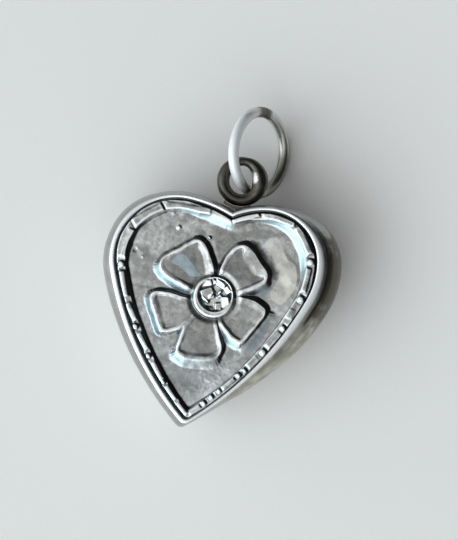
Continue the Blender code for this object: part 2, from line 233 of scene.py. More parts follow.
class NodeFinish(Nodes):
    """A material while its nodes are laid."""

    def __init__(self, name: str) -> None:
        """Start a material with its plain shader.

        Args:
            name: The material's name.
        """
        self.material = bpy.data.materials.new(name)
        self.material.use_nodes = True
        self.shader = self.material.node_tree.nodes["Principled BSDF"]
        super().__init__(self.material.node_tree, "Object")

    def cloud(self, kind: Clouds) -> Value:
        """Return a cloudy noise around 0.5."""
        layers = {"Scale": 1 / (kind.size * MM), "Detail": kind.detail, "Distortion": kind.distortion}
        return self.add("ShaderNodeTexNoise", {"noise_dimensions": "3D"}, {"Vector": self.place, **layers}, 0)

    def attribute(self, name: str) -> Value:
        """Return a number that the mesh carries."""
        return self.add("ShaderNodeAttribute", {"attribute_name": name}, {}, "Fac")

    def along(self, axis: int) -> Value:
        """Return a coordinate of the piece in millimetres."""
        return self.add("ShaderNodeSeparateXYZ", {}, {0: self.place}, axis) * (1 / MM)

    def away(self, point: tuple) -> Value:
        """Return the distance from a point in millimetres."""
        sockets = {0: self.place, 1: tuple(part * MM for part in point)}
        return self.add("ShaderNodeVectorMath", {"operation": "DISTANCE"}, sockets, 1) * (1 / MM)

    def dress(self, colour: Value, metallic: "Value | float", roughness: "Value | float",
              height: Value) -> bpy.types.Material:
        """Join the values to the shader.

        Args:
            colour: The base colour.
            metallic: How much of the surface is bare metal.
            roughness: The roughness.
            height: The height of the fine relief in millimetres.

        Returns:
            The finished material.
        """
        bump = self.add("ShaderNodeBump", {}, {"Height": height, "Distance": MM}, "Normal")
        for name, value in (("Base Color", colour), ("Metallic", metallic), ("Roughness", roughness),
                            ("Normal", bump)):
            socket = self.shader.inputs[name]
            if isinstance(value, Value):
                self.tree.links.new(value.socket, socket)
            else:
                socket.default_value = value
        return self.material


# Finishes

@dataclass(frozen=True)
class AgedSilver:
    """Old silver: bare metal where it is worn and a gray patina elsewhere.

    A field whose name ends in span holds the values between which a smooth step goes from 0 to 1.
    """

    name: str
    bare: tuple = (0.80, 0.81, 0.80)
    patina: tuple = (0.40, 0.40, 0.39)
    roughness: float = 0.34
    grain: float = 0.006
    least_roughness: float = 0.12
    bare_span: tuple = (0.35, 1.0)
    clouds: Clouds = Clouds(2.2, 4.0)
    mottles: Clouds = Clouds(0.45, 4.0, 0.6)
    grains: Clouds = Clouds(0.09)

    def coat(self, finish: NodeFinish, cloud: Value, mottle: Value) -> tuple:
        """Lay the plain worn coat.

        Args:
            finish: The material while its nodes are laid.
            cloud: Its broad clouds.
            mottle: Its small clouds.

        Returns:
            The base colour, how much of it is bare metal (which may be a number) and the roughness.
        """
        worn = (cloud * 0.5 + mottle * 0.35).rise(*self.bare_span)
        colour = finish.blend(worn, self.patina, self.bare)
        return colour, 1.0, self.roughness + (mottle - 0.5) * 0.22

    def material(self) -> bpy.types.Material:
        """Lay the finish's nodes.

        Returns:
            The finish as a material.
        """
        finish = NodeFinish(self.name)
        cloud, mottle, fine = (finish.cloud(kind) for kind in (self.clouds, self.mottles, self.grains))
        colour, metallic, roughness = self.coat(finish, cloud, mottle)
        height = (fine - 0.5) * self.grain + (mottle - 0.5) * self.grain
        return finish.dress(colour, metallic, roughness.most(self.least_roughness), height)


CARRIED = ("relief", "tone", "cool", "facing", "blotch")


@dataclass(frozen=True)
class StruckSilver(AgedSilver):
    """The plate's silver: bare on ridges, a near black patina in hollows, near black painted shade on slopes
    in the lee of the relief away from the lamp, and a bluish painted glint on slopes that face the lamp.
    """

    name: str = "struck_plate_silver"
    roughness: float = 0.31
    patina: tuple = (0.375, 0.37, 0.36)
    cool: tuple = (0.24, 0.30, 0.34)
    warm: tuple = (0.90, 0.88, 0.80)
    brown: tuple = (0.15, 0.14, 0.122)
    # glint: a painted highlight, the bluish sheen of slopes that face the lamp; the fleck reuses this colour.
    glint: tuple = (0.56, 0.76, 0.84)
    ridge: tuple = (0.93, 0.95, 0.95)
    # Near black for both the patina in hollows and the painted shade in the lee of the relief.
    patina_and_shade_black: tuple = (0.016, 0.015, 0.014)
    polished_span: tuple = (0.004, 0.040)
    sunk_span: tuple = (-0.030, -0.090)
    windward_span: tuple = (0.09, 0.34)
    lee_span: tuple = (-0.25, -0.50)
    worn_span: tuple = (0.40, 0.74)
    brown_span: tuple = (0.46, 0.70)
    lighter_span: tuple = (0.72, 0.44)
    cool_share: float = 0.8
    brown_share: float = 0.38
    patina_and_shade_share: float = 0.97
    specks: Clouds = Clouds(0.17, 2.0)
    patches: Clouds = Clouds(0.75, 5.0, 0.4)

    def coat(self, finish: NodeFinish, cloud: Value, mottle: Value) -> tuple:
        """Lay the struck plate's coat.

        Args:
            finish: The material while its nodes are laid.
            cloud: Its broad clouds.
            mottle: Its small clouds.

        Returns:
            The base colour, how much of it is bare metal and the roughness.
        """
        relief, tone, cool, facing, blotch = (finish.attribute(name) for name in CARRIED)
        polished = (relief + (mottle - 0.5) * 0.03).rise(*self.polished_span)
        # Painted light from the facing attribute: a glint where a slope faces the lamp, and shade in its lee.
        windward = facing.rise(*self.windward_span)
        lee = (facing + (mottle - 0.5) * 0.10).rise(*self.lee_span)
        # Patina where the relief is sunk, and painted shade in the lee.
        patina_and_lee_shade = (relief + (mottle - 0.5) * 0.04).rise(*self.sunk_span).most(lee)
        worn = (cloud * 0.5 + mottle * 0.5).rise(*self.worn_span)
        speck = finish.cloud(self.specks)
        patchy = finish.cloud(self.patches)
        stained = (patchy + (speck - 0.5) * 0.5).rise(*self.brown_span) * self.brown_share
        colour = finish.blend(cool * self.cool_share, self.patina, self.cool)
        colour = finish.blend(worn * (1.0 - cool * 0.6), colour, self.bare)
        colour = finish.blend(stained, colour, self.brown)
        colour = finish.blend(tone * (mottle + 0.5), colour, self.brown)
        lighter = (patchy + (mottle - 0.5) * 0.8).rise(*self.lighter_span) * 0.45 + 0.65
        colour = finish.blend((blotch * lighter).most(0.0), colour, self.warm)
        colour = finish.blend((blotch * -1.0).most(0.0), colour, self.glint)
        colour = finish.blend(polished, colour, self.ridge)
        # Painted glint on the slopes that face the lamp.
        colour = finish.blend(windward * (mottle * 0.4 + 0.75), colour, self.glint)
        # Near black patina in hollows and painted shade in the lee.
        colour = finish.blend(patina_and_lee_shade * self.patina_and_shade_share, colour, self.patina_and_shade_black)
        roughness = self.roughness + (mottle - 0.5) * 0.20
        roughness = roughness - polished * 0.13 + patina_and_lee_shade * 0.12 + windward * 0.10
        return colour, (1.0 - patina_and_lee_shade * 0.4).most(0.0), roughness


@dataclass(frozen=True)
class WallSilver(AgedSilver):
    """The shell's silver: dark brown painted shade on the upper right wall, which faces away from the lamp,
    near black painted shade in its crease, a painted olive reflection below it, a bare rim and left side.
    """

    name: str = "shell_silver"
    grain: float = 0.008
    # brown: painted shade on the upper right wall, and streaks in the painted olive reflection.
    brown: tuple = (0.085, 0.070, 0.045)
    # olive: a painted reflection, the dark table seen in the lower right wall.
    olive: tuple = (0.62, 0.61, 0.51)
    # crease: painted shade in the crease under the rim on the upper right.
    crease: tuple = (0.030, 0.027, 0.020)
    crest: tuple = (0.90, 0.92, 0.93)
    brown_place: tuple = (8.2, 3.4, 4.6)
    olive_place: tuple = (6.4, -3.6, 4.0)
    olive_span: tuple = (7.4, 3.4)
    brown_span: tuple = (4.4, 2.8)
    crease_span: tuple = (5.2, 3.6)
    rim_span: tuple = (6.385, 6.31)
    below_rim_span: tuple = (6.27, 6.10)
    crease_top_span: tuple = (6.26, 6.18)
    crease_foot_span: tuple = (5.98, 6.10)
    crest_span: tuple = (6.30, 6.385)
    streak_span: tuple = (0.66, 0.34)
    streaks: Clouds = Clouds(1.1, 6.0)

    def coat(self, finish: NodeFinish, cloud: Value, mottle: Value) -> tuple:
        """Lay the shell's coat.

        Args:
            finish: The material while its nodes are laid.
            cloud: Its broad clouds.
            mottle: Its small clouds.

        Returns:
            The base colour, how much of it is bare metal and the roughness.
        """
        colour, _, roughness = super().coat(finish, cloud, mottle)
        height = finish.along(2)
        patches = (cloud - 0.5) * 5.5 + (mottle - 0.5) * 1.8
        below = height.rise(*self.below_rim_span)
        # Painted reflection: olive on the lower right wall, streaked with brown.
        olive = (finish.away(self.olive_place) + patches).rise(*self.olive_span) * height.rise(*self.rim_span)
        # Painted shade: dark brown on the upper right wall, near black in the crease under its rim.
        brown = (finish.away(self.brown_place) + patches).rise(*self.brown_span) * below
        near = (finish.away(self.brown_place) + patches * 0.3).rise(*self.crease_span)
        crease = height.rise(*self.crease_top_span) * height.rise(*self.crease_foot_span) * near
        streaks = finish.cloud(self.streaks).rise(*self.streak_span)
        colour = finish.blend(height.rise(*self.crest_span), colour, self.crest)
        colour = finish.blend(olive * 0.85, colour, self.olive)
        colour = finish.blend(olive * streaks * 0.50, colour, self.brown)
        colour = finish.blend(brown * 0.92, colour, self.brown)
        colour = finish.blend(crease, colour, self.crease)
        return colour, (1.0 - olive * 0.35 - brown * 0.4).most(0.1), roughness


@dataclass(frozen=True)
class RingSilver(AgedSilver):
    """The ring's silver: a near white painted highlight on the left branch, which faces the lamp, dark at the
    cut, and painted shade on the lower right branch near the table.
    """

    name: str = "ring_silver"
    bare: tuple = (0.90, 0.91, 0.90)
    patina: tuple = (0.66, 0.66, 0.63)
    # Painted highlight: near white on the left branch, which faces the lamp.
    lighter: tuple = (0.95, 0.97, 0.98)
    # Painted shade: dark on the lower right branch near the table.
    lower_shade: tuple = (0.20, 0.195, 0.15)
    burnt: tuple = (0.055, 0.050, 0.040)
    cut_place: tuple = (0.16, 14.22, 2.87)
    lower_place: tuple = (2.1, 9.8, 0.9)
    left_span: tuple = (0.5, -0.4)
    low_span: tuple = (14.2, 13.2)
    lower_shade_span: tuple = (2.9, 1.5)
    burnt_span: tuple = (1.05, 0.55)

    def coat(self, finish: NodeFinish, cloud: Value, mottle: Value) -> tuple:
        """Lay the ring's coat.

        Args:
            finish: The material while its nodes are laid.
            cloud: Its broad clouds.
            mottle: Its small clouds.

        Returns:
            The base colour, how much of it is bare metal and the roughness.
        """
        colour, _, roughness = super().coat(finish, cloud, mottle)
        patches = (cloud - 0.5) * 1.5
        # Painted highlight: the left branch, but for its top, turns near white and less metallic.
        left = (finish.along(0) + patches * 0.4).rise(*self.left_span)
        lighter = left * finish.along(1).rise(*self.low_span)
        # Painted shade: the lower right branch near the table turns dark.
        lower_shade = (finish.away(self.lower_place) + patches).rise(*self.lower_shade_span)
        burnt = (finish.away(self.cut_place) + patches * 0.5 + (mottle - 0.5) * 0.8).rise(*self.burnt_span)
        colour = finish.blend(lighter, colour, self.lighter)
        colour = finish.blend(lower_shade * 0.85, colour, self.lower_shade)
        colour = finish.blend(burnt * 0.85, colour, self.burnt)
        return colour, 1.0 - lighter * 0.75, roughness + lighter * 0.14


@dataclass(frozen=True)
class EyeletSilver(AgedSilver):
    """The eyelet's silver: dark all over, with a painted highlight on the hole's right inner edge, which
    faces the lamp.
    """

    name: str = "eyelet_silver"
    bare: tuple = (0.42, 0.40, 0.36)
    patina: tuple = (0.095, 0.088, 0.070)
    roughness: float = 0.32
    grain: float = 0.010
    # Painted highlight: light on the hole's right inner edge, which faces the lamp.
    lighter: tuple = (0.78, 0.78, 0.74)
    highlight_place: tuple = (0.74, 9.32, 4.62)
    lighter_span: tuple = (0.48, 0.24)

    def coat(self, finish: NodeFinish, cloud: Value, mottle: Value) -> tuple:
        """Lay the eyelet's coat.

        Args:
            finish: The material while its nodes are laid.
            cloud: Its broad clouds.
            mottle: Its small clouds.

        Returns:
            The base colour, how much of it is bare metal and the roughness.
        """
        colour, metallic, roughness = super().coat(finish, cloud, mottle)
        # Painted highlight on the hole's right inner edge.
        lighter = (finish.away(self.highlight_place) + (mottle - 0.5) * 0.5).rise(*self.lighter_span)
        return finish.blend(lighter, colour, self.lighter), metallic, roughness


# The heart's seam line

@dataclass(frozen=True)
class Arc:
    """One arc of the seam line, with the shell's bulge past it at both ends."""

    centre: Vector
    radius: float
    start: float
    end: float
    first_bulge: float
    last_bulge: float
    steps: int


@dataclass(frozen=True)
class Half:
    """One half of the heart from the notch to the tip: heading, radii, sweeps and the shell's bulges."""

    heading: float
    radii: tuple
    sweeps: tuple
    bulges: tuple


@dataclass
class HeartLine:
    """The seam line between plate and shell, and the loops that lie beside it."""

    notch: Vector = field(default_factory=lambda: Vector((0.0, 6.20)))
    tip: Vector = field(default_factory=lambda: Vector((0.0, -8.78)))
    right: Half = Half(35.5, (5.80, 3.70, 5.60), (26.0, 91.0, 26.0), (0.45, 0.50, 1.70, 1.72, 0.30))
    left: Half = Half(19.5, (9.85, 4.45, 4.20), (19.5, 76.5, 35.5), (0.45, 0.55, 1.00, 1.15, 0.95))
    tip_rounding: float = 0.45
    steps: tuple = (9, 26, 11, 28)
    tip_steps: int = 4

    def __post_init__(self) -> None:
        """Work out both halves' arcs."""
        self.halves = {1: self.arcs(self.right), -1: self.arcs(self.left)}

    def arcs(self, half: Half) -> list[Arc]:
        """Return a half's four arcs, the last of which meets the tip.

        Args:
            half: The half's headings, radii and sweeps.

        Returns:
            The arcs in the right half's plane; the left half mirrors them.
        """
        heading = math.radians(half.heading)
        point = self.notch.copy()
        found = []
        for index, (radius, sweep) in enumerate(zip(half.radii, half.sweeps)):
            centre = point + radius * Vector((math.sin(heading), -math.cos(heading)))
            start = math.atan2(*(point - centre).yx)
            end = start - math.radians(sweep)
            found.append(Arc(centre, radius, start, end, half.bulges[index], half.bulges[index + 1],
                             self.steps[index]))
            point = centre + radius * Vector((math.cos(end), math.sin(end)))
            heading -= math.radians(sweep)
        chord = self.tip - point
        tangent = Vector((math.cos(heading), math.sin(heading)))
        radius = chord.length_squared / (2 * (chord.x * tangent.y - chord.y * tangent.x))
        centre = point + radius * Vector((tangent.y, -tangent.x))
        start, end = (math.atan2(*(place - centre).yx) for place in (point, self.tip))
        found.append(Arc(centre, radius, start, end, half.bulges[-2], half.bulges[-1], self.steps[-1]))
        return found

    def corner(self, index: int, near: Vector, offset_at: Callable[[float], float]) -> Vector:
        """Find where the two halves' offset arcs cross.

        Args:
            index: 0 at the notch and -1 at the tip.
            near: The seam line's own corner there.
            offset_at: The offset for a given bulge.

        Returns:
            The crossing that is nearer to that corner.
        """
        (a, ra), (b, rb) = ((Vector((side * arc.centre.x, arc.centre.y)),
                             arc.radius + offset_at(arc.first_bulge if index == 0 else arc.last_bulge))
                            for side, arc in ((side, arcs[index]) for side, arcs in self.halves.items()))
        between = b - a
        along = (between.length ** 2 + ra ** 2 - rb ** 2) / (2 * between.length)
        across = math.sqrt(max(ra ** 2 - along ** 2, 0.0))
        foot = a + between.normalized() * along
        side = Vector((-between.y, between.x)).normalized() * across
        return min((foot + side, foot - side), key=lambda point: (point - near).length)

    def loop(self, mesh: bmesh.types.BMesh, height: float, base: float, share: float = 0.0,
             inset: float = 0.0, scale: float = 1.0) -> list[bmesh.types.BMEdge]:
        """Lay a closed loop of edges beside the seam line.

        Args:
            mesh: The mesh that takes the loop.
            height: The loop's height.
            base: Its offset from the seam line, outwards, where the share is 0.
            share: How far it follows the shell's bulge instead.
            inset: How far inside the bulge it lies where the share is 1.
            scale: How much it is drawn in towards the heart's middle.

        Returns:
            The loop's edges.
        """
        def offset_at(bulge: float) -> float:
            """Return the offset where the shell has a given bulge."""
            return base + (bulge - inset - base) * share

        mesh.edges.ensure_lookup_table()
        first_edge = len(mesh.edges)
        first_vert = len(mesh.verts)
        notch = self.corner(0, self.notch, offset_at)
        tip = self.corner(-1, self.tip, offset_at)
        start = mesh.verts.new((*notch, height))
        ends = [self.half(mesh, start, side, notch, tip, offset_at) for side in (1, -1)]
        last = ends[0]
        for step in range(1, self.tip_steps + 1):
            t = step / (self.tip_steps + 1)
            place = ends[0].co.xy * (1 - t) ** 2 + tip * 2 * t * (1 - t) + ends[1].co.xy * t ** 2
            point = mesh.verts.new((*place, height))
            mesh.edges.new((last, point))
            last = point
        mesh.edges.new((last, ends[1]))
        mesh.verts.ensure_lookup_table()
        mesh.edges.ensure_lookup_table()
        bmesh.ops.scale(mesh, verts=mesh.verts[first_vert:], vec=(scale, scale, 1.0))
        return mesh.edges[first_edge:]

    def half(self, mesh: bmesh.types.BMesh, start: bmesh.types.BMVert, side: int, notch: Vector, tip: Vector,
             offset_at: Callable[[float], float]) -> bmesh.types.BMVert:
        """Spin a half of a loop round its arcs, from the notch to where the tip's rounding starts.

        Args:
            mesh: The mesh that takes the loop.
            start: The vertex at the notch.
            side: 1 for the right half and -1 for the left.
            notch: The loop's corner at the notch.
            tip: Its corner at the tip.
            offset_at: The offset for a given bulge.

        Returns:
            The half's last vertex.
        """
        vert = start
        arcs = self.halves[side]
        for index, arc in enumerate(arcs):
            begin, end = arc.start, arc.end
            if index == 0:
                begin = math.atan2(*(Vector((side * notch.x, notch.y)) - arc.centre).yx)
            if index == len(arcs) - 1:
                end = math.atan2(*(Vector((side * tip.x, tip.y)) - arc.centre).yx)
                end += self.tip_rounding / arc.radius
            centre = Vector((side * arc.centre.x, arc.centre.y, vert.co.z))
            count = len(mesh.verts)
            bmesh.ops.spin(mesh, geom=[vert], cent=centre, axis=(0, 0, -side), angle=begin - end,
                           steps=arc.steps)
            mesh.verts.ensure_lookup_table()
            for step, point in enumerate(mesh.verts[count:], start=1):
                share = 0.5 - 0.5 * math.cos(math.pi * step / arc.steps)
                offset = offset_at(arc.first_bulge + (arc.last_bulge - arc.first_bulge) * share)
                point.co = centre + (point.co - centre).normalized() * (arc.radius + offset)
            vert = mesh.verts[-1]
        return vert


HEART = HeartLine()


# Mesh helpers

def bridged(rings: Iterable[tuple]) -> bmesh.types.BMesh:
    """Return a body whose skin runs over loops beside the seam line, closed at the first and the last.

    Args:
        rings: Each loop's height, base, share, inset and scale.

    Returns:
        The mesh, facing outwards.
    """
    mesh = bmesh.new()
    loops = [HEART.loop(mesh, *ring) for ring in rings]
    for lower, upper in zip(loops, loops[1:]):
        bmesh.ops.bridge_loops(mesh, edges=lower + upper)
    for loop in (loops[0], loops[-1]):
        bmesh.ops.edgeloop_fill(mesh, edges=loop)
    bmesh.ops.recalc_face_normals(mesh, faces=mesh.faces)
    return mesh


def remeshed(mesh: bmesh.types.BMesh, voxel: float) -> bmesh.types.BMesh:
    """Return a mesh laid over again in even squares.

    Args:
        mesh: The closed mesh, which is freed.
        voxel: The squares' size.

    Returns:
        The new mesh.
    """
    data = bpy.data.meshes.new("blank")
    mesh.to_mesh(data)
    mesh.free()
    item = bpy.data.objects.new("blank", data)
    bpy.context.collection.objects.link(item)
    squares = item.modifiers.new("squares", "REMESH")
    squares.mode = "VOXEL"
    squares.voxel_size = voxel
    even = bpy.data.meshes.new_from_object(item.evaluated_get(bpy.context.evaluated_depsgraph_get()))
    result = bmesh.new()
    result.from_mesh(even)
    bpy.data.objects.remove(item)
    bpy.data.meshes.remove(data)
    bpy.data.meshes.remove(even)
    return result


def bent_wire(wire: float, radius: float, segments: int, sides: int, cut: float = 0.0) -> bmesh.types.BMesh:
    """Bend round wire to a flat ring about Z.

    Args:
        wire: The wire's thickness.
        radius: The radius of its middle line.
        segments: How many steps it is bent in.
        sides: How many sides the wire has.
        cut: The gap between its ends, 0 where it is closed.

    Returns:
        The mesh, facing outwards.
    """
    mesh = bmesh.new()
    gap = cut / radius
    section = bmesh.ops.create_circle(mesh, segments=sides, radius=wire / 2, cap_ends=cut > 0.0)["verts"]
    bmesh.ops.rotate(mesh, verts=section, cent=(0, 0, 0), matrix=Matrix.Rotation(math.pi / 2, 3, "X"))
    bmesh.ops.translate(mesh, verts=section, vec=(radius, 0, 0))
    bmesh.ops.rotate(mesh, verts=section, cent=(0, 0, 0), matrix=Matrix.Rotation(gap / 2, 3, "Z"))
    bmesh.ops.spin(mesh, geom=mesh.verts[:] + mesh.edges[:] + mesh.faces[:], cent=(0, 0, 0), axis=(0, 0, 1),
                   angle=2 * math.pi - gap, steps=segments, use_merge=cut == 0.0)
    bmesh.ops.recalc_face_normals(mesh, faces=mesh.faces)
    return mesh


def finished(name: str, mesh: bmesh.types.BMesh, material: bpy.types.Material, slot: Slot, body: Body,
             nodes: Sequence[str], sharp: float = 40.0) -> bpy.types.Object:
    """Add a mesh in millimetres as a finished piece in metres.

    Args:
        name: The piece's name.
        mesh: Its mesh, which is freed.
        material: Its material.
        slot: The record's slot, which is not used.
        body: The body that it rides on.
        nodes: The CAD nodes that it stands for.
        sharp: The angle past which an edge stays sharp.

    Returns:
        The object.
    """
    bmesh.ops.scale(mesh, verts=mesh.verts, vec=(MM, MM, MM))
    data = bpy.data.meshes.new(name)
    mesh.to_mesh(data)
    mesh.free()
    data.shade_smooth()
    data.set_sharp_from_angle(angle=math.radians(sharp))
    data.materials.append(material)
    item = bpy.data.objects.new(name, data)
    bpy.context.collection.objects.link(item)
    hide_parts(*nodes)
    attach(item, body.value)
    LOG.info("%s: %d faces", name, len(data.polygons))
    return item


# Back shell

@dataclass
class DomedBack:
    """The pressed back, empty inside, with its side wall and the rounded lip round the front."""

    thickness: float = THICKNESS
    equator: float = 4.20
    wall: float = 0.40
    land: float = 0.40
    lip: float = 0.16
    ledge: float = 0.50
    ledge_height: float = 5.35
    dome_steps: int = 14
    shoulder_steps: int = 24
    lip_profile: tuple = ((0.0, 0.10), (0.015, 0.05), (0.06, 0.01), (0.14, 0.0))
    knocked: tuple = (0.4, 6.3)
    knock_size: float = 2.3
    knock_depth: float = 0.05
    crease_height: float = 6.10
    crease_half: float = 0.12
    crease_from: float = 5.6

    def outside(self) -> list[tuple]:
        """Lay out the outer skin.

        Returns:
            The loops from the flat land up to the lip's inner edge, each as HEART.loop takes it.
        """
        rings = []
        for step in range(self.dome_steps):
            angle = (1 - step / self.dome_steps) * math.pi / 2
            rings.append((self.equator * (1 - math.sin(angle)), self.lip, 1.0, 0.0,
                          self.land + (1 - self.land) * math.cos(angle)))
        for step in range(self.shoulder_steps + 1):
            angle = (1 - step / self.shoulder_steps) * math.pi / 2
            rings.append((self.equator + (self.thickness - self.equator) * math.cos(angle), self.lip,
                          math.sin(angle)))
        return rings + [(self.thickness - drop, offset) for drop, offset in self.lip_profile]

    def inside(self) -> list[tuple]:
        """Lay out the inner skin.

        Returns:
            The loops from the ledge that carries the plate down to the floor, each as HEART.loop takes it.
        """
        rings = [(self.ledge_height, 0.0), (self.ledge_height, -self.ledge)]
        for step in range(self.dome_steps // 2 + 1):
            angle = step / (self.dome_steps // 2) * math.pi / 2
            rings.append((self.wall + (self.equator - self.wall) * (1 - math.sin(angle)), -self.ledge, 1.0,
                          self.wall, self.land + (1 - self.land) * math.cos(angle)))
        return rings

    def build(self) -> bpy.types.Object:
        """Add the shell.

        Returns:
            The shell.
        """
        mesh = bridged(self.outside() + self.inside())
        self.knock(mesh)
        return finished("domed_back", mesh, WallSilver().material(), Slot.BODY, Body.PENDANT, ["back_shell"])

    def knock(self, mesh: bmesh.types.BMesh) -> None:
        """Give the wall the shallow knocks of years of wear, inwards only, so that it stays in its box.

        Args:
            mesh: The shell's mesh.
        """
        mesh.normal_update()
        for vert in mesh.verts:
            if self.knocked[0] < vert.co.z < self.knocked[1]:
                lump = 0.5 + 0.5 * noise.noise(vert.co / self.knock_size)
                crease = (max(0.0, 1.0 - abs(vert.co.z - self.crease_height) / self.crease_half)
                          * min(max(vert.co.x - self.crease_from, 0.0), 1.0))
                vert.co -= vert.normal * (lump * self.knock_depth + crease * self.knock_depth)


# Struck plate

def soft(x: np.ndarray) -> np.ndarray:
    """Return a smooth step of values from 0 to 1."""
    x = np.clip(x, 0.0, 1.0)
    return x * x * (3.0 - 2.0 * x)


def ramp(x: np.ndarray) -> np.ndarray:
    """Return a straight slope of values from 0 to 1 with rounded ends."""
    return 0.55 * np.clip(x, 0.0, 1.0) + 0.45 * soft(x)


def notch(values: np.ndarray, middle: float, half: float) -> np.ndarray:
    """Return a rounded notch, 1 in its middle and 0 past its half width."""
    return soft(1.0 - np.abs(values - middle) / half)


def heading(degrees: float) -> np.ndarray:
    """Return the direction of an angle."""
    turn = math.radians(degrees)
    return np.array((math.cos(turn), math.sin(turn)))


def away(places: np.ndarray, point: tuple) -> np.ndarray:
    """Return how far points lie from one place."""
    return np.hypot(places[:, 0] - point[0], places[:, 1] - point[1])


def beside(places: np.ndarray, start: Sequence[float], way: np.ndarray) -> tuple:
    """Return how far points lie along a direction from a start, and how far to its left."""
    offset = places - np.array(start)
    return offset @ way, offset @ np.array((-way[1], way[0]))


def rounded_line(points: Sequence[tuple], times: int = 2) -> np.ndarray:
    """Cut a closed line's corners again and again until they are round.

    Args:
        points: The line's corners.
        times: How often they are cut.

    Returns:
        The rounded line's points.
    """
    line = np.array(points)
    for _ in range(times):
        after = np.roll(line, -1, axis=0)
        line = np.stack((0.75 * line + 0.25 * after, 0.25 * line + 0.75 * after), axis=1).reshape(-1, 2)
    return line


class LineField:
    """How points of the plate lie beside a closed line."""

    def __init__(self, line: np.ndarray, places: np.ndarray) -> None:
        """Work out the distance, the way to the nearest point and the share of the line's length there.

        Args:
            line: The line's corners.
            places: The points.
        """
        after = np.roll(line, -1, axis=0)
        lengths = np.linalg.norm(after - line, axis=1)
        starts = np.concatenate(([0.0], np.cumsum(lengths)[:-1]))
        best = np.full(len(places), np.inf)
        gaps = np.zeros_like(places)
        inside = np.zeros(len(places), dtype=bool)
        self.share = np.zeros(len(places))
        for start, end, length, before in zip(line, after, lengths, starts):
            step = (end - start) / length
            offset = places - start
            along = np.clip(offset @ step, 0.0, length)
            gap = offset - along[:, None] * step
            distance = np.einsum("ij,ij->i", gap, gap)
            nearer = distance < best
            best[nearer] = distance[nearer]
            gaps[nearer] = gap[nearer]
            self.share[nearer] = (before + along[nearer]) / lengths.sum()
            if start[1] != end[1]:
                crosses = (start[1] > places[:, 1]) != (end[1] > places[:, 1])
                at = start[0] + (places[:, 1] - start[1]) * (end[0] - start[0]) / (end[1] - start[1])
                inside ^= crosses & (places[:, 0] < at)
        distance = np.sqrt(best)
        unit = gaps / np.maximum(distance, 1e-6)[:, None]
        self.signed = np.where(inside, -distance, distance)
        self.outward = np.where(inside[:, None], -unit, unit)


@dataclass(frozen=True)
class Waver:
    """An uneven swell: the size of its lumps and how far it goes up and down."""

    size: float
    amount: float

    def at(self, places: np.ndarray) -> np.ndarray:
        """Return the swell at points of the plate."""
        size = self.size
        return self.amount * np.array([noise.noise(Vector((x / size, y / size, size))) for x, y in places])


@dataclass(frozen=True)
class Patch:
    """A patch of the plate: its outline and the width of its soft edge."""

    outline: tuple
    soften: float

    def on(self, places: np.ndarray) -> np.ndarray:
        """Return 1 at points inside the patch and 0 outside."""
        return soft((self.soften / 2 - LineField(rounded_line(self.outline), places).signed) / self.soften)


FLANK_SHADE = Patch(((4.05, 4.75), (4.75, 4.25), (5.55, 3.75), (5.75, 2.9), (5.75, 2.0), (5.2, 3.3),
                     (4.5, 4.0)), 0.15)
FLECK = Patch(((-3.60, 2.00), (-3.36, 2.62), (-2.74, 2.86), (-2.32, 2.42), (-1.98, 2.22), (-1.70, 1.80),
               (-1.20, 1.58), (-1.95, 1.30), (-2.50, 1.66), (-3.0, 1.92)), 0.06)
TOP_STAIN = Patch(PHOTO.line(((215, 226), (228, 235), (262, 228), (284, 236), (262, 240), (240, 237),
                              (224, 262), (219, 262), (215, 240)), FIELD_HEIGHT), 0.25)
LEFT_BLUE = Patch(PHOTO.line(((147, 296), (152, 318), (157, 335), (175, 345), (183, 352), (176, 372),
                              (150, 330), (144, 300)), FIELD_HEIGHT), 0.35)
RIGHT_BLUE = Patch(PHOTO.line(((268, 317), (273, 313), (266, 335), (255, 352), (243, 352), (248, 346),
                               (258, 332)), FIELD_HEIGHT), 0.20)
UPPER_BLUE = Patch(PHOTO.line(((244, 293), (262, 286), (268, 284), (273, 285), (266, 296), (250, 295)),
                              FIELD_HEIGHT), 0.15)
CRESCENT = Patch(PHOTO.line(((263, 246), (268, 238), (279, 238), (283, 250), (287, 260), (294, 263),
                             (297, 272), (297, 283), (293, 293), (284, 303), (279, 306), (268, 297),
                             (275, 285), (280, 276), (276, 265), (272, 256)), FIELD_HEIGHT), 0.05)
GRANULAR = Patch(PHOTO.line(((200, 364), (238, 362), (232, 375), (215, 388), (203, 395), (196, 380)),
                            FIELD_HEIGHT), 0.5)


@dataclass(frozen=True)
class Slope:
    """A petal's slope: its width all round, and how much wider it is towards some directions."""

    width: float
    wider: tuple = ()

    def widths(self, outward: np.ndarray) -> np.ndarray:
        """Work out the slope's width.

        Args:
            outward: The ways that the ridge faces.

        Returns:
            The width at each.
        """
        widths = np.full(len(outward), self.width)
        for extra, towards in self.wider:
            widths += extra * soft((outward @ heading(towards) - 0.3) / 0.6)
        return widths


@dataclass(frozen=True)
class Petal:
    """A petal: its ridge line in pixels, the slopes beside it, and how far and which way its floor dips."""

    ridge: tuple
    outer: Slope
    inner: Slope
    dip: tuple
    apron: Slope = Slope(0.01)
    rise: float = 0.42
    floor: float = 0.385
    dip_length: float = 3.2

    @property
    def line(self) -> tuple:
        """Return the ridge line's places."""
        return PHOTO.line(self.ridge, RIDGE_HEIGHT)

    def tray(self, places: np.ndarray) -> np.ndarray:
        """Return the height of the petal's floor, which dips towards one side."""
        along, _ = beside(places, np.array(self.line).mean(axis=0), heading(self.dip[1]))
        return self.floor - self.dip[0] * soft(0.5 + along / self.dip_length)


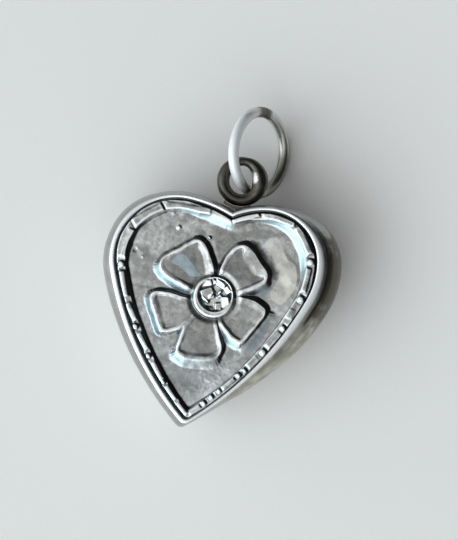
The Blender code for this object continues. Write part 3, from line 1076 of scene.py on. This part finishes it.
PETALS = (
    Petal(((210, 285), (213, 270), (211, 261), (206, 247), (199, 239.5), (190, 243.5), (180, 250), (171, 254),
           (164, 258), (161, 264), (163, 270.5), (171, 277), (180, 282), (189, 287), (200, 292)),
          Slope(0.32, ((0.28, 235.0),)), Slope(0.16, ((0.26, 15.0),)), (0.15, 25.0)),
    Petal(((219, 282), (222, 270), (225, 262), (233, 251), (240, 246), (246, 246), (252, 251), (258, 262),
           (264, 269), (267, 275), (266, 280), (260, 284), (251, 288), (241, 292), (226, 296)),
          Slope(0.30, ((0.08, 45.0), (0.25, 290.0))), Slope(0.16, ((0.60, 40.0),)), (0.18, 30.0),
          Slope(0.01, ((0.75, 30.0),))),
    Petal(((228, 296), (240, 298), (252, 301), (261, 306), (265, 311), (262, 317), (252, 329), (243, 341),
           (238, 342), (230, 335), (221, 324), (216, 312)),
          Slope(0.26, ((0.10, 75.0), (0.34, 228.0), (0.08, 322.0))), Slope(0.16, ((0.20, 60.0),)),
          (0.08, 215.0), Slope(0.01, ((0.95, 322.0),))),
    Petal(((196, 311), (187, 324), (182, 336), (177, 347), (178, 353), (185, 357), (200, 359), (211, 358.5),
           (218, 355), (221, 349), (219, 339), (216, 324), (216, 310)),
          Slope(0.26, ((0.48, 262.0),)), Slope(0.16, ((0.16, 285.0),)), (0.07, 300.0)),
    Petal(((203, 300), (182, 298), (171, 293.5), (160, 292), (154, 293), (151.5, 298), (155, 308), (159, 322),
           (161, 328.5), (165, 331), (172, 330), (180, 326), (190, 320), (205, 310)),
          Slope(0.26, ((0.30, 205.0),)), Slope(0.16, ((0.18, 185.0),)), (0.06, 178.0)),
)


@dataclass(frozen=True)
class Spot:
    """A small round pimple, bead or pit: its place, diameter and height."""

    place: tuple
    diameter: float
    height: float


@dataclass(frozen=True)
class Bar:
    """A bar on the border band: where its middle line starts and ends, its width, rise and flatness."""

    start: tuple
    end: tuple
    width: float
    rise: float = 0.10
    flat: float = 2.0
    moat: float = 0.0
    gap: float = 0.0


@dataclass(frozen=True)
class Block:
    """A block of the rosette: its place, length, width, turn, height and the slope of its top."""

    place: tuple
    length: float
    width: float
    turn: float
    height: float
    slope: tuple


FIELD_SPOTS = (
    Spot(on_field(179, 227.5), 0.36, 0.08),
    Spot(on_field(209.5, 238), 0.28, 0.12),
    Spot(on_field(142.5, 257), 0.26, 0.03),
    Spot(on_field(173.5, 213), 0.26, 0.03),
    Spot(on_field(135, 250), 0.36, -0.05),
)
BEADS = (
    Spot(on_band(121, 264), 0.52, 0.12),
    Spot(on_band(135, 326.5), 0.52, 0.16),
    Spot(on_band(148, 356), 0.46, 0.14),
    Spot(on_band(163, 382), 0.38, 0.12),
    Spot(on_band(311, 262), 0.50, 0.12),
    Spot(on_band(301, 299), 0.52, 0.15),
    Spot(on_band(283, 328), 0.44, 0.12),
    Spot(on_band(263, 352), 0.50, 0.10),
    Spot((3.30, -4.33), 0.40, 0.14),
    Spot((2.96, -4.76), 0.42, 0.14),
    Spot(on_band(219, 391), 0.38, 0.11),
    Spot(on_band(211, 397), 0.42, 0.13),
    Spot((0.98, -7.25), 0.40, 0.12),
)
BARS = (
    Bar((-4.90, 5.95), (-1.60, 6.20), 0.57, 0.05, 4.0),
    Bar(on_band(133, 223), on_band(163, 206.5), 0.70, 0.10, 4.0, 0.0, 0.05),
    Bar(on_band(132.5, 229), on_band(122.5, 257), 0.66, 0.10, 3.0),
    Bar(on_band(122, 271, -0.05), on_band(126.5, 297, -0.06), 0.54, 0.12),
    Bar(on_band(127.5, 303, -0.05), on_band(137, 321, -0.09), 0.54, 0.12),
    Bar(on_band(139, 333, -0.04), on_band(148, 350, -0.06), 0.52, 0.12),
    Bar(on_band(153, 362, -0.05), on_band(163, 380, -0.06), 0.48, 0.11),
    Bar(on_band(166, 386, -0.02), on_band(176, 400, -0.04), 0.44, 0.10),
    Bar(on_band(177, 403, -0.03), on_band(187, 415, -0.03), 0.40, 0.08),
    Bar(on_band(233, 221), (1.83, 6.84), 0.46, 0.09, 3.0, 0.0, 0.05),
    Bar(on_band(265, 214, -0.13), (4.50, 6.68), 0.56, 0.09, 3.0),
    Bar((4.70, 6.54), (6.02, 4.80), 0.56, 0.09, 3.0, 0.0, 0.03),
    Bar((6.16, 3.82), (6.12, 2.05), 0.50, 0.10, 3.0),
    Bar((5.62, 0.72), (5.50, 0.00), 0.60, 0.05),
    Bar(on_band(280, 333), on_band(267, 347), 0.46, 0.06, 4.0, 0.05),
    Bar(on_band(257, 357), on_band(246, 366, 0.06), 0.56, 0.05, 3.0),
    Bar(on_band(235, 379, -0.06), (2.00, -5.98), 0.34, 0.07, 3.0),
    Bar(on_band(200, 406), on_band(189, 414), 0.40, 0.07),
)
ROSETTE = (
    Block((-0.76, 1.14), 0.86, 0.46, 22.0, 0.43, (0.14, 0.20)),
    Block((-0.34, 1.40), 0.52, 0.34, -30.0, 0.40, (0.18, 0.10)),
    Block((0.20, 1.30), 0.84, 0.50, -20.0, 0.44, (0.16, 0.22)),
    Block((0.80, 0.96), 0.56, 0.46, -46.0, 0.43, (0.16, 0.18)),
    Block((0.86, 0.12), 0.62, 0.80, 16.0, 0.42, (0.18, 0.12)),
    Block((0.40, -0.28), 0.50, 0.50, 14.0, 0.34, (-0.05, -0.03)),
    Block((-0.52, 0.42), 0.96, 0.84, 30.0, 0.39, (-0.02, -0.04)),
    Block((-0.34, 0.30), 0.94, 0.20, 60.0, 0.45, (0.20, 0.22)),
    Block((-0.62, -0.02), 0.70, 0.20, -30.0, 0.43, (0.18, 0.26)),
    Block((0.30, 0.70), 0.36, 0.14, 42.0, 0.40, (0.16, 0.18)),
    Block((0.34, 0.42), 0.36, 0.14, 36.0, 0.40, (0.16, 0.18)),
    Block((-0.26, -0.54), 0.96, 0.24, 8.0, 0.30, (-0.10, -0.18)),
)


@dataclass
class StruckPlate:
    """The front plate: one sheet with its border band, beads and bars, petals and cup struck by a die."""

    thickness: float = THICKNESS
    top: float = BAND_HEIGHT
    recess: float = 0.48
    bottom: float = 5.49
    gap: float = 0.08
    edge_drop: float = 0.24
    band_sink: float = 0.11
    bar_end: float = 0.09
    nick_depth: float = 0.06
    voxel: float = 0.048
    flower: tuple = (-0.03, 0.30)
    cup_foot: float = 1.82
    cup_crest: float = 1.36
    cup_mouth: float = 1.16
    mouth: tuple = (0.02, 0.48)
    cup_rise: float = 0.50
    cup_floor: float = 0.20
    block_corner: int = 7
    block_slope: float = 1.6
    flank_rise: float = 0.24
    bright_place: tuple = (4.77, 2.58)
    windward: tuple = LAMP_PLAN
    shelter: float = 0.35
    petal_shade: float = 0.45
    even_rounds: int = 24
    edge_waver: Waver = Waver(0.8, 0.035)
    ridge_waver: Waver = Waver(0.55, 0.045)
    rise_waver: Waver = Waver(0.9, 0.14)
    broad: Waver = Waver(1.6, 0.030)
    small: Waver = Waver(0.5, 0.012)
    grit: Waver = Waver(0.20, 0.014)
    groove_shares: tuple = (0.0, 0.20, 0.235, 0.49, 0.53, 0.74, 0.78, 0.86, 0.92, 1.0)
    groove_depths: tuple = (1.9, 1.0, 0.10, 0.05, 1.0, 1.0, 0.50, 0.50, 1.30, 1.9)
    step_shares: tuple = (0.0, .03, .06, .09, .13, .17, .21, .24, .30, .40, .49, .51, .60, .70, .78, .86, .92,
                          .95, .97, 1.0)
    step_edges: tuple = (.35, .60, .60, .60, .65, .70, .70, .65, .62, .58, .55, .55, .62, .66, .76, .80, .76,
                         .70, .40, .35)
    step_feet: tuple = (1.10, .80, 1.05, 1.20, 1.42, 1.38, 1.15, .95, .90, .80, .68, .70, .81, .85, .96, 1.00,
                        .97, 1.15, 1.20, 1.15)

    @property
    def field(self) -> float:
        """Return the height of the recessed field."""
        return self.top - self.recess

    def blank(self) -> bmesh.types.BMesh:
        """Cut the sheet before it is struck.

        Returns:
            The sheet in even squares, with a plain underside.
        """
        mesh = bridged(((self.bottom - 0.3, -self.gap), (self.top, -self.gap)))
        mesh = remeshed(mesh, self.voxel)
        cut = bmesh.ops.bisect_plane(mesh, geom=mesh.verts[:] + mesh.edges[:] + mesh.faces[:],
                                     plane_co=(0, 0, self.bottom), plane_no=(0, 0, 1), clear_inner=True)
        rim = [edge for edge in cut["geom_cut"] if isinstance(edge, bmesh.types.BMEdge)]
        bmesh.ops.edgeloop_fill(mesh, edges=rim)
        bmesh.ops.recalc_face_normals(mesh, faces=mesh.faces)
        return mesh

    def seam(self) -> np.ndarray:
        """Follow the seam line.

        Returns:
            Its points, clockwise from the notch.
        """
        mesh = bmesh.new()
        edges = HEART.loop(mesh, 0.0, 0.0)
        vert = min(mesh.verts, key=lambda point: (point.co.xy - HEART.notch).length)
        edge = max(vert.link_edges, key=lambda one: one.other_vert(vert).co.x)
        points = []
        for _ in edges:
            points.append(tuple(vert.co.xy))
            vert = edge.other_vert(vert)
            edge = next(one for one in vert.link_edges if one is not edge)
        mesh.free()
        return np.array(points)

    def border(self, places: np.ndarray, seam: LineField) -> np.ndarray:
        """Return the height of the band, its groove and its inner step, with its bars and beads.

        Args:
            places: The points.
            seam: How they lie beside the seam line.

        Returns:
            Heights above the field.
        """
        depth = self.edge_waver.at(places) - seam.signed
        groove = np.interp(seam.share, self.groove_shares, self.groove_depths)
        edge = np.interp(seam.share, self.step_shares, self.step_edges)
        foot = np.interp(seam.share, self.step_shares, self.step_feet)
        outer = soft((depth - 0.02) / (0.07 + 0.09 * groove))
        inner = soft((foot - depth) / (foot - edge))
        band = (self.recess - self.band_sink - self.edge_drop * groove * (1.0 - outer)) * inner
        for bar in BARS:
            band = self.with_bar(band, bar, places, inner)
        for bead in BEADS:
            outward = seam.outward[np.argmin(away(places, bead.place))]
            band = self.with_bead(band, bead, places, inner, np.array((-outward[1], outward[0])))
        return band

    def with_bar(self, band: np.ndarray, bar: Bar, places: np.ndarray, inner: np.ndarray) -> np.ndarray:
        """Raise a bar on the band, highest at its end, with gaps at its ends and a moat beside it.

        Args:
            band: The band's heights.
            bar: The bar.
            places: The points.
            inner: 1 on the band and 0 past its inner step.

        Returns:
            The heights with the bar.
        """
        run = np.array(bar.end) - np.array(bar.start)
        length = np.linalg.norm(run)
        along, across = beside(places, bar.start, run / length)
        reach = np.abs(across) / (bar.width / 2)
        first, last = (soft((far + self.bar_end) / (2 * self.bar_end)) for far in (along, length - along))
        ends = first * last
        shingle = 0.80 + 0.40 * np.clip(along / length, 0.0, 1.0)
        band = band + bar.rise * shingle * ends * np.clip(1.0 - reach ** bar.flat, 0.0, 1.0) ** 0.6
        gaps = np.maximum(notch(along, -0.07, 0.07), notch(along, length + 0.07, 0.07)) * soft(1.5 - reach)
        moat = notch(across, bar.width / 2 + 0.05, 0.06) * ends
        return band - inner * (bar.gap * gaps + bar.moat * moat)

    def with_bead(self, band: np.ndarray, bead: Spot, places: np.ndarray, inner: np.ndarray,
                  way: np.ndarray) -> np.ndarray:
        """Raise a bead on the band, with a nick before and after it.

        Args:
            band: The band's heights.
            bead: The bead.
            places: The points.
            inner: 1 on the band and 0 past its inner step.
            way: The way that the band runs there.

        Returns:
            The heights with the bead.
        """
        along, across = beside(places, bead.place, way)
        half = bead.diameter / 2
        reach = np.hypot(along, across) / half
        band = band + bead.height * np.clip(1.0 - reach ** 2, 0.0, 1.0) ** 0.5
        nicks = np.maximum(notch(along, half * 1.25, 0.09), 0.5 * notch(along, -half * 1.25, 0.09))
        return band - self.nick_depth * nicks * soft(1.25 - np.abs(across) / half) * inner

    def petals(self, places: np.ndarray, lines: Sequence[LineField]) -> np.ndarray:
        """Shape the petals as shallow trays with a ridge that fades towards the cup.

        Args:
            places: The points.
            lines: How they lie beside each petal's ridge.

        Returns:
            Heights above the field.
        """
        height = np.zeros(len(places))
        fade = soft((away(places, self.flower) - self.cup_crest) / 0.7)
        for petal, line in zip(PETALS, lines):
            signed = line.signed + self.ridge_waver.at(places)
            rise = petal.rise * (1.0 + self.rise_waver.at(places))
            outer = rise * (1.0 - ramp((signed - 0.08) / petal.outer.widths(line.outward)))
            apron = 0.36 * petal.rise * (1.0 - soft((signed - 0.07) / petal.apron.widths(line.outward)))
            tray = petal.tray(places)
            inner = tray + (rise - tray) * (1.0 - ramp((-signed - 0.08) / petal.inner.widths(line.outward)))
            shape = np.where(signed > 0, np.maximum(outer, apron), inner) * (0.35 + 0.65 * fade)
            height = np.maximum(height, shape)
        return height

    def cup(self, places: np.ndarray, height: np.ndarray) -> np.ndarray:
        """Strike the round cup and the rosette in it over the petals' roots.

        Args:
            places: The points.
            height: The petals' heights there.

        Returns:
            Heights above the field.
        """
        reach = away(places, self.flower)
        wall = 1.0 - soft((reach - self.cup_crest) / (self.cup_foot - self.cup_crest))
        inside = soft((self.cup_mouth + 0.08 - away(places, self.mouth)) / 0.14)
        rosette = np.full(len(places), self.cup_floor)
        for block in ROSETTE:
            along, across = beside(places, block.place, heading(block.turn))
            sides = [(np.abs(far) / (size / 2)) ** self.block_corner
                     for far, size in ((along, block.length), (across, block.width))]
            reach_in = (sides[0] + sides[1]) ** (1 / self.block_corner)
            top = block.height + (places - np.array(block.place)) @ np.array(block.slope) * self.block_slope
            rise = (top - self.cup_floor) * soft((1.05 - reach_in) / 0.10)
            rosette = np.maximum(rosette, self.cup_floor + rise)
        struck = self.cup_rise * wall * (1.0 - inside) + rosette * inside
        return np.where(reach < self.cup_crest, struck, np.maximum(height, self.cup_rise * wall))

    def tone(self, places: np.ndarray, lines: Sequence[LineField]) -> np.ndarray:
        """Work out how brown the metal is: in the petals, under the notch and beside the band.

        Args:
            places: The points.
            lines: How they lie beside each petal's ridge.

        Returns:
            The brownness, from 0 to 1.
        """
        petals = np.max([soft((-0.1 - line.signed) / 0.2) for line in lines], axis=0)
        return np.maximum(0.42 * np.maximum(FLANK_SHADE.on(places), TOP_STAIN.on(places)), 0.30 * petals)

    def cool(self, places: np.ndarray) -> np.ndarray:
        """Return where the patina is bluish: beside three petals and along the lower left."""
        low = 0.4 * soft((-2.2 - places[:, 1]) / 2.5)
        return np.max([LEFT_BLUE.on(places) * 0.6, RIGHT_BLUE.on(places), UPPER_BLUE.on(places), low], axis=0)

    def blotch(self, places: np.ndarray) -> np.ndarray:
        """Work out where the plate is worn bare, in a crescent and in the rosette, or bluish in a fleck.

        Args:
            places: The points.

        Returns:
            How bare the plate is where it is above 0, and how bluish below.
        """
        rosette = soft((self.cup_mouth + 0.1 - away(places, self.mouth)) / 0.1)
        bright = soft(1.4 - away(places, self.bright_place) / 0.45)
        lighter = np.maximum((0.48 + 0.48 * bright) * CRESCENT.on(places), 0.40 * rosette)
        return lighter - 0.55 * FLECK.on(places)

    def swell(self, places: np.ndarray) -> np.ndarray:
        """Return how far the field itself rises towards the right flank, where the band has no step."""
        towards = 0.87 * places[:, 0] - 0.5 * places[:, 1]
        return self.flank_rise * soft((towards - 2.7) / 2.0) * soft((places[:, 0] - 0.2) / 1.5)

    def heights(self, places: np.ndarray, lines: Sequence[LineField]) -> np.ndarray:
        """Put the border, the flower and the field's own spots together.

        Args:
            places: The points.
            lines: How they lie beside each petal's ridge.

        Returns:
            The die's heights above the field.
        """
        border = self.border(places, LineField(self.seam(), places))
        flower = self.cup(places, self.petals(places, lines)) + self.swell(places)
        relief = np.where(border > 0.0, np.maximum(border, flower), flower)
        for spot in FIELD_SPOTS:
            relief = relief + spot.height * soft(1.3 - away(places, spot.place) / (spot.diameter / 2))
        return relief

    def strike(self, mesh: bmesh.types.BMesh, relief: np.ndarray, rough: np.ndarray) -> None:
        """Move the sheet's upper face to the die's heights.

        Args:
            mesh: The sheet.
            relief: The die's height at each vertex.
            rough: How granular the field is there.
        """
        upper = [vert for vert in mesh.verts if vert.co.z > self.bottom + 0.01]
        for vert in upper:
            place = Vector((*vert.co.xy, 0.0))
            uneven = (noise.noise(place / self.broad.size) * self.broad.amount
                      + noise.noise(place / self.small.size + Vector((0, 0, 14.0))) * self.small.amount
                      + noise.noise(place / self.grit.size) * self.grit.amount * rough[vert.index])
            share = (vert.co.z - self.bottom) / (self.top - self.bottom)
            target = min(self.field + relief[vert.index] + uneven, self.thickness)
            vert.co.z = self.bottom + (target - self.bottom) * share
        bmesh.ops.smooth_vert(mesh, verts=upper, factor=0.4, use_axis_z=True)

    def stand(self, mesh: bmesh.types.BMesh) -> list[float]:
        """Measure how far each point stands above the ground round it.

        Args:
            mesh: The struck sheet.

        Returns:
            The heights, below 0 where a point lies below the ground round it.
        """
        even = mesh.copy()
        for _ in range(self.even_rounds):
            bmesh.ops.smooth_vert(even, verts=even.verts, factor=0.5, use_axis_x=True, use_axis_y=True,
                                  use_axis_z=True)
        stand = [(vert.co - flat.co).dot(vert.normal) for vert, flat in zip(mesh.verts, even.verts)]
        even.free()
        return stand

    def build(self) -> bpy.types.Object:
        """Add the plate, and give its points the numbers that its finish reads.

        Returns:
            The plate.
        """
        mesh = self.blank()
        mesh.verts.index_update()
        places = np.array([vert.co.xy for vert in mesh.verts])
        lines = [LineField(rounded_line(petal.line), places) for petal in PETALS]
        self.strike(mesh, self.heights(places, lines), GRANULAR.on(places))
        mesh.normal_update()
        # facing: how much each point faces the lamp, weaker inside the petals; the finish paints a glint and
        # shade from it.
        windward = Vector(self.windward)
        facing = [vert.normal.xy.dot(windward) - self.shelter * vert.normal.xy.length for vert in mesh.verts]
        inside = np.min([line.signed for line in lines], axis=0) < -0.05
        carried = (self.stand(mesh), self.tone(places, lines), self.cool(places),
                   np.where(inside, self.petal_shade, 1.0) * facing, self.blotch(places))
        item = finished("struck_plate", mesh, StruckSilver().material(), Slot.STRUCK, Body.PENDANT,
                        ["front_plate"], 180.0)
        for name, values in zip(CARRIED, carried):
            item.data.attributes.new(name, "FLOAT", "POINT").data.foreach_set("value", values)
        return item


# Eyelet, ring and solder

@dataclass
class EyeletWire:
    """The thick closed wire ring at the notch, swollen at its right side and worn thin at the top.

    The swelling stays clear of the place where the loose ring hangs in the hole.
    """

    wire: float = 0.90
    hole: float = 1.93
    swell: float = 0.15
    swell_turn: float = 20.0
    thinning: float = 0.30
    thin_turn: float = 95.0
    ribs: int = 6
    rib_depth: float = 0.03
    dent_size: float = 0.9
    dent_depth: float = 0.02
    segments: int = 72
    sides: int = 28

    def build(self) -> bpy.types.Object:
        """Add the eyelet.

        Returns:
            The eyelet.
        """
        radius = (self.hole + self.wire) / 2
        mesh = bent_wire(self.wire, radius, self.segments, self.sides)
        for vert in mesh.verts:
            turn = math.atan2(vert.co.y, vert.co.x)
            around = Vector((math.cos(turn), math.sin(turn), 0.0))
            offset = vert.co - around * radius
            right, top = max(around.x, 0.0), max(math.cos(turn - math.radians(self.thin_turn)), 0.0)
            thick = self.swell * max(math.cos(turn - math.radians(self.swell_turn)), 0.0) ** 2
            wave = math.cos(self.ribs * math.atan2(offset.z, offset.dot(around)))
            rib = 1.0 - self.rib_depth * right * wave
            scale = (1.0 - self.thinning * top ** 3 + thick / (self.wire / 2)) * rib
            vert.co = around * (radius - thick) + offset * scale
        bmesh.ops.translate(mesh, verts=mesh.verts, vec=EYELET_CENTRE)
        mesh.normal_update()
        for vert in mesh.verts:
            vert.co -= vert.normal * (noise.noise(vert.co / self.dent_size) * self.dent_depth)
        return finished("eyelet_wire", mesh, EyeletSilver().material(), Slot.DARK, Body.PENDANT, ["eyelet"])


@dataclass
class OpenRing:
    """The jump ring: round wire bent to a ring with a narrow cut, which leans through the eyelet."""

    diameter: float = 6.74
    wire: float = 0.78
    cut: float = 0.05
    turn: float = 7.3
    slide: float = 34.0
    hole_offset: float = 0.25
    segments: int = 120
    sides: int = 28

    @property
    def radius(self) -> float:
        """Return the radius of the wire's middle line."""
        return (self.diameter - self.wire) / 2

    def lie(self) -> Matrix:
        """Work out how the ring lies: it passes the eyelet's hole and leans until it touches the table.

        Returns:
            The ring's place and turn.
        """
        passing = Vector(EYELET_CENTRE) - Vector((0.0, self.hole_offset, 0.0))
        slide = math.radians(self.slide)
        lean = math.asin((EYELET_CENTRE[2] - self.wire / 2) / (self.radius * (1 + math.sin(slide))))
        turn = math.radians(self.turn)
        level = Vector((-math.sin(turn), math.cos(turn), 0.0))
        fall = Vector((math.cos(lean) * math.cos(turn), math.cos(lean) * math.sin(turn), -math.sin(lean)))
        centre = passing + self.radius * (math.cos(slide) * level + math.sin(slide) * fall)
        place = Matrix((level, -fall, fall.cross(level).normalized())).transposed().to_4x4()
        place.translation = centre
        return place

    def build(self) -> bpy.types.Object:
        """Add the ring.

        Returns:
            The ring.
        """
        mesh = bent_wire(self.wire, self.radius, self.segments, self.sides, self.cut)
        bmesh.ops.transform(mesh, matrix=self.lie(), verts=mesh.verts)
        return finished("open_ring", mesh, RingSilver().material(), Slot.BRIGHT, Body.RING, ["jump_ring"])


@dataclass
class Solder:
    """The brown fillet of solder under the eyelet, and the frame of solder under the plate."""

    node: str = "eyelet_solder"
    frame_node: str = "plate_solder"

    def build(self) -> None:
        """Dress both pieces of solder."""
        silver = AgedSilver("solder_gray", (0.42, 0.40, 0.36), (0.16, 0.14, 0.11), 0.42, 0.02).material()
        for name in (self.node, self.frame_node):
            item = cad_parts[name]
            for place in item.material_slots:
                place.material = silver
            LOG.info("%s: dressed", name)


# Table, light and camera

@dataclass
class Studio:
    """A pale table, one large soft lamp, a soft sky and the camera."""

    table_size: float = 400.0
    table_colour: tuple = (0.96, 0.935, 0.92)
    table_shade: float = 0.985
    table_clouds: Clouds = Clouds(6.0, 4.0)
    lamp_plan: tuple = LAMP_PLAN
    lamp_height: float = 38.0
    lamp_distance: float = 600.0
    lamp_size: tuple = (690.0, 470.0)
    lamp_power: float = 1.45
    lamp_colour: tuple = (0.80, 0.95, 1.0)
    sky_range: tuple = (0.02, 1.25)
    sky_span: tuple = (-0.40, 0.95)
    sky_lean: float = 0.9
    sky_rise: float = 0.30
    sky_colour: tuple = (0.95, 0.99, 1.0)
    camera_lens: float = 140.0
    camera_target: tuple = (0.613, 2.424, PHOTO.front)
    camera_clip: tuple = (0.005, 5.0)

    def table(self) -> None:
        """Add the pale table."""
        mesh = bmesh.new()
        bmesh.ops.create_grid(mesh, x_segments=1, y_segments=1, size=self.table_size / 2 * MM)
        data = bpy.data.meshes.new("table")
        mesh.to_mesh(data)
        mesh.free()
        finish = NodeFinish("pale_table")
        cloud = finish.cloud(self.table_clouds)
        shaded = tuple(part * self.table_shade for part in self.table_colour)
        colour = finish.blend(cloud, shaded, self.table_colour)
        data.materials.append(finish.dress(colour, 0.0, 0.8, cloud * 0.002))
        item = bpy.data.objects.new("table", data)
        bpy.context.collection.objects.link(item)

    def lamp(self) -> None:
        """Add the soft lamp towards the heart's lower left."""
        data = bpy.data.lights.new("lamp", "AREA")
        data.shape = "RECTANGLE"
        data.size, data.size_y = (size * MM for size in self.lamp_size)
        data.energy = self.lamp_power
        data.color = self.lamp_colour
        item = bpy.data.objects.new("lamp", data)
        height = math.radians(self.lamp_height)
        towards = Vector((self.lamp_plan[0] * math.cos(height), self.lamp_plan[1] * math.cos(height),
                          math.sin(height)))
        item.location = towards * self.lamp_distance * MM
        item.rotation_euler = towards.to_track_quat("Z", "Y").to_euler()
        bpy.context.collection.objects.link(item)

    def sky(self) -> None:
        """Light the room softly: bright towards the lamp's side and dim on the other."""
        world = bpy.data.worlds.new("room")
        world.use_nodes = True
        bpy.context.scene.world = world
        nodes = Nodes(world.node_tree, "Generated")
        plan = (*(part * self.sky_lean for part in self.lamp_plan), self.sky_rise)
        towards = nodes.add("ShaderNodeVectorMath", {"operation": "DOT_PRODUCT"},
                            {0: nodes.place, 1: plan}, 1)
        low, high = self.sky_range
        strength = towards.rise(*self.sky_span) * (high - low) + low
        background = nodes.tree.nodes["Background"]
        background.inputs["Color"].default_value = (*self.sky_colour, 1.0)
        nodes.tree.links.new(strength.socket, background.inputs["Strength"])

    def camera(self) -> None:
        """Set the camera at the photograph's viewing angle."""
        tilt, roll = math.radians(PHOTO.tilt), math.radians(PHOTO.roll)
        back = Vector((math.sin(tilt), 0.0, math.cos(tilt)))
        right = Vector((0.0, 1.0, 0.0)).cross(back).normalized()
        up = back.cross(right)
        across = right * math.cos(roll) + up * math.sin(roll)
        above = up * math.cos(roll) - right * math.sin(roll)
        place = Matrix((across, above, back)).transposed().to_4x4()
        place.translation = (Vector(self.camera_target) + back * PHOTO.distance) * MM
        data = bpy.data.cameras.new("camera")
        data.lens = self.camera_lens
        data.clip_start, data.clip_end = self.camera_clip
        item = bpy.data.objects.new("camera", data)
        item.matrix_world = place
        bpy.context.collection.objects.link(item)
        bpy.context.scene.camera = item

    def build(self) -> None:
        """Set the table, the light and the camera."""
        self.table()
        self.lamp()
        self.sky()
        self.camera()
        bpy.context.scene.view_settings.view_transform = "Standard"


def main() -> None:
    """Build the pendant's pieces in order."""
    logging.basicConfig(level=logging.INFO, format="%(name)s %(message)s")
    DomedBack().build()
    StruckPlate().build()
    EyeletWire().build()
    OpenRing().build()
    Solder().build()
    Studio().build()


if __name__ == "__main__":
    main()
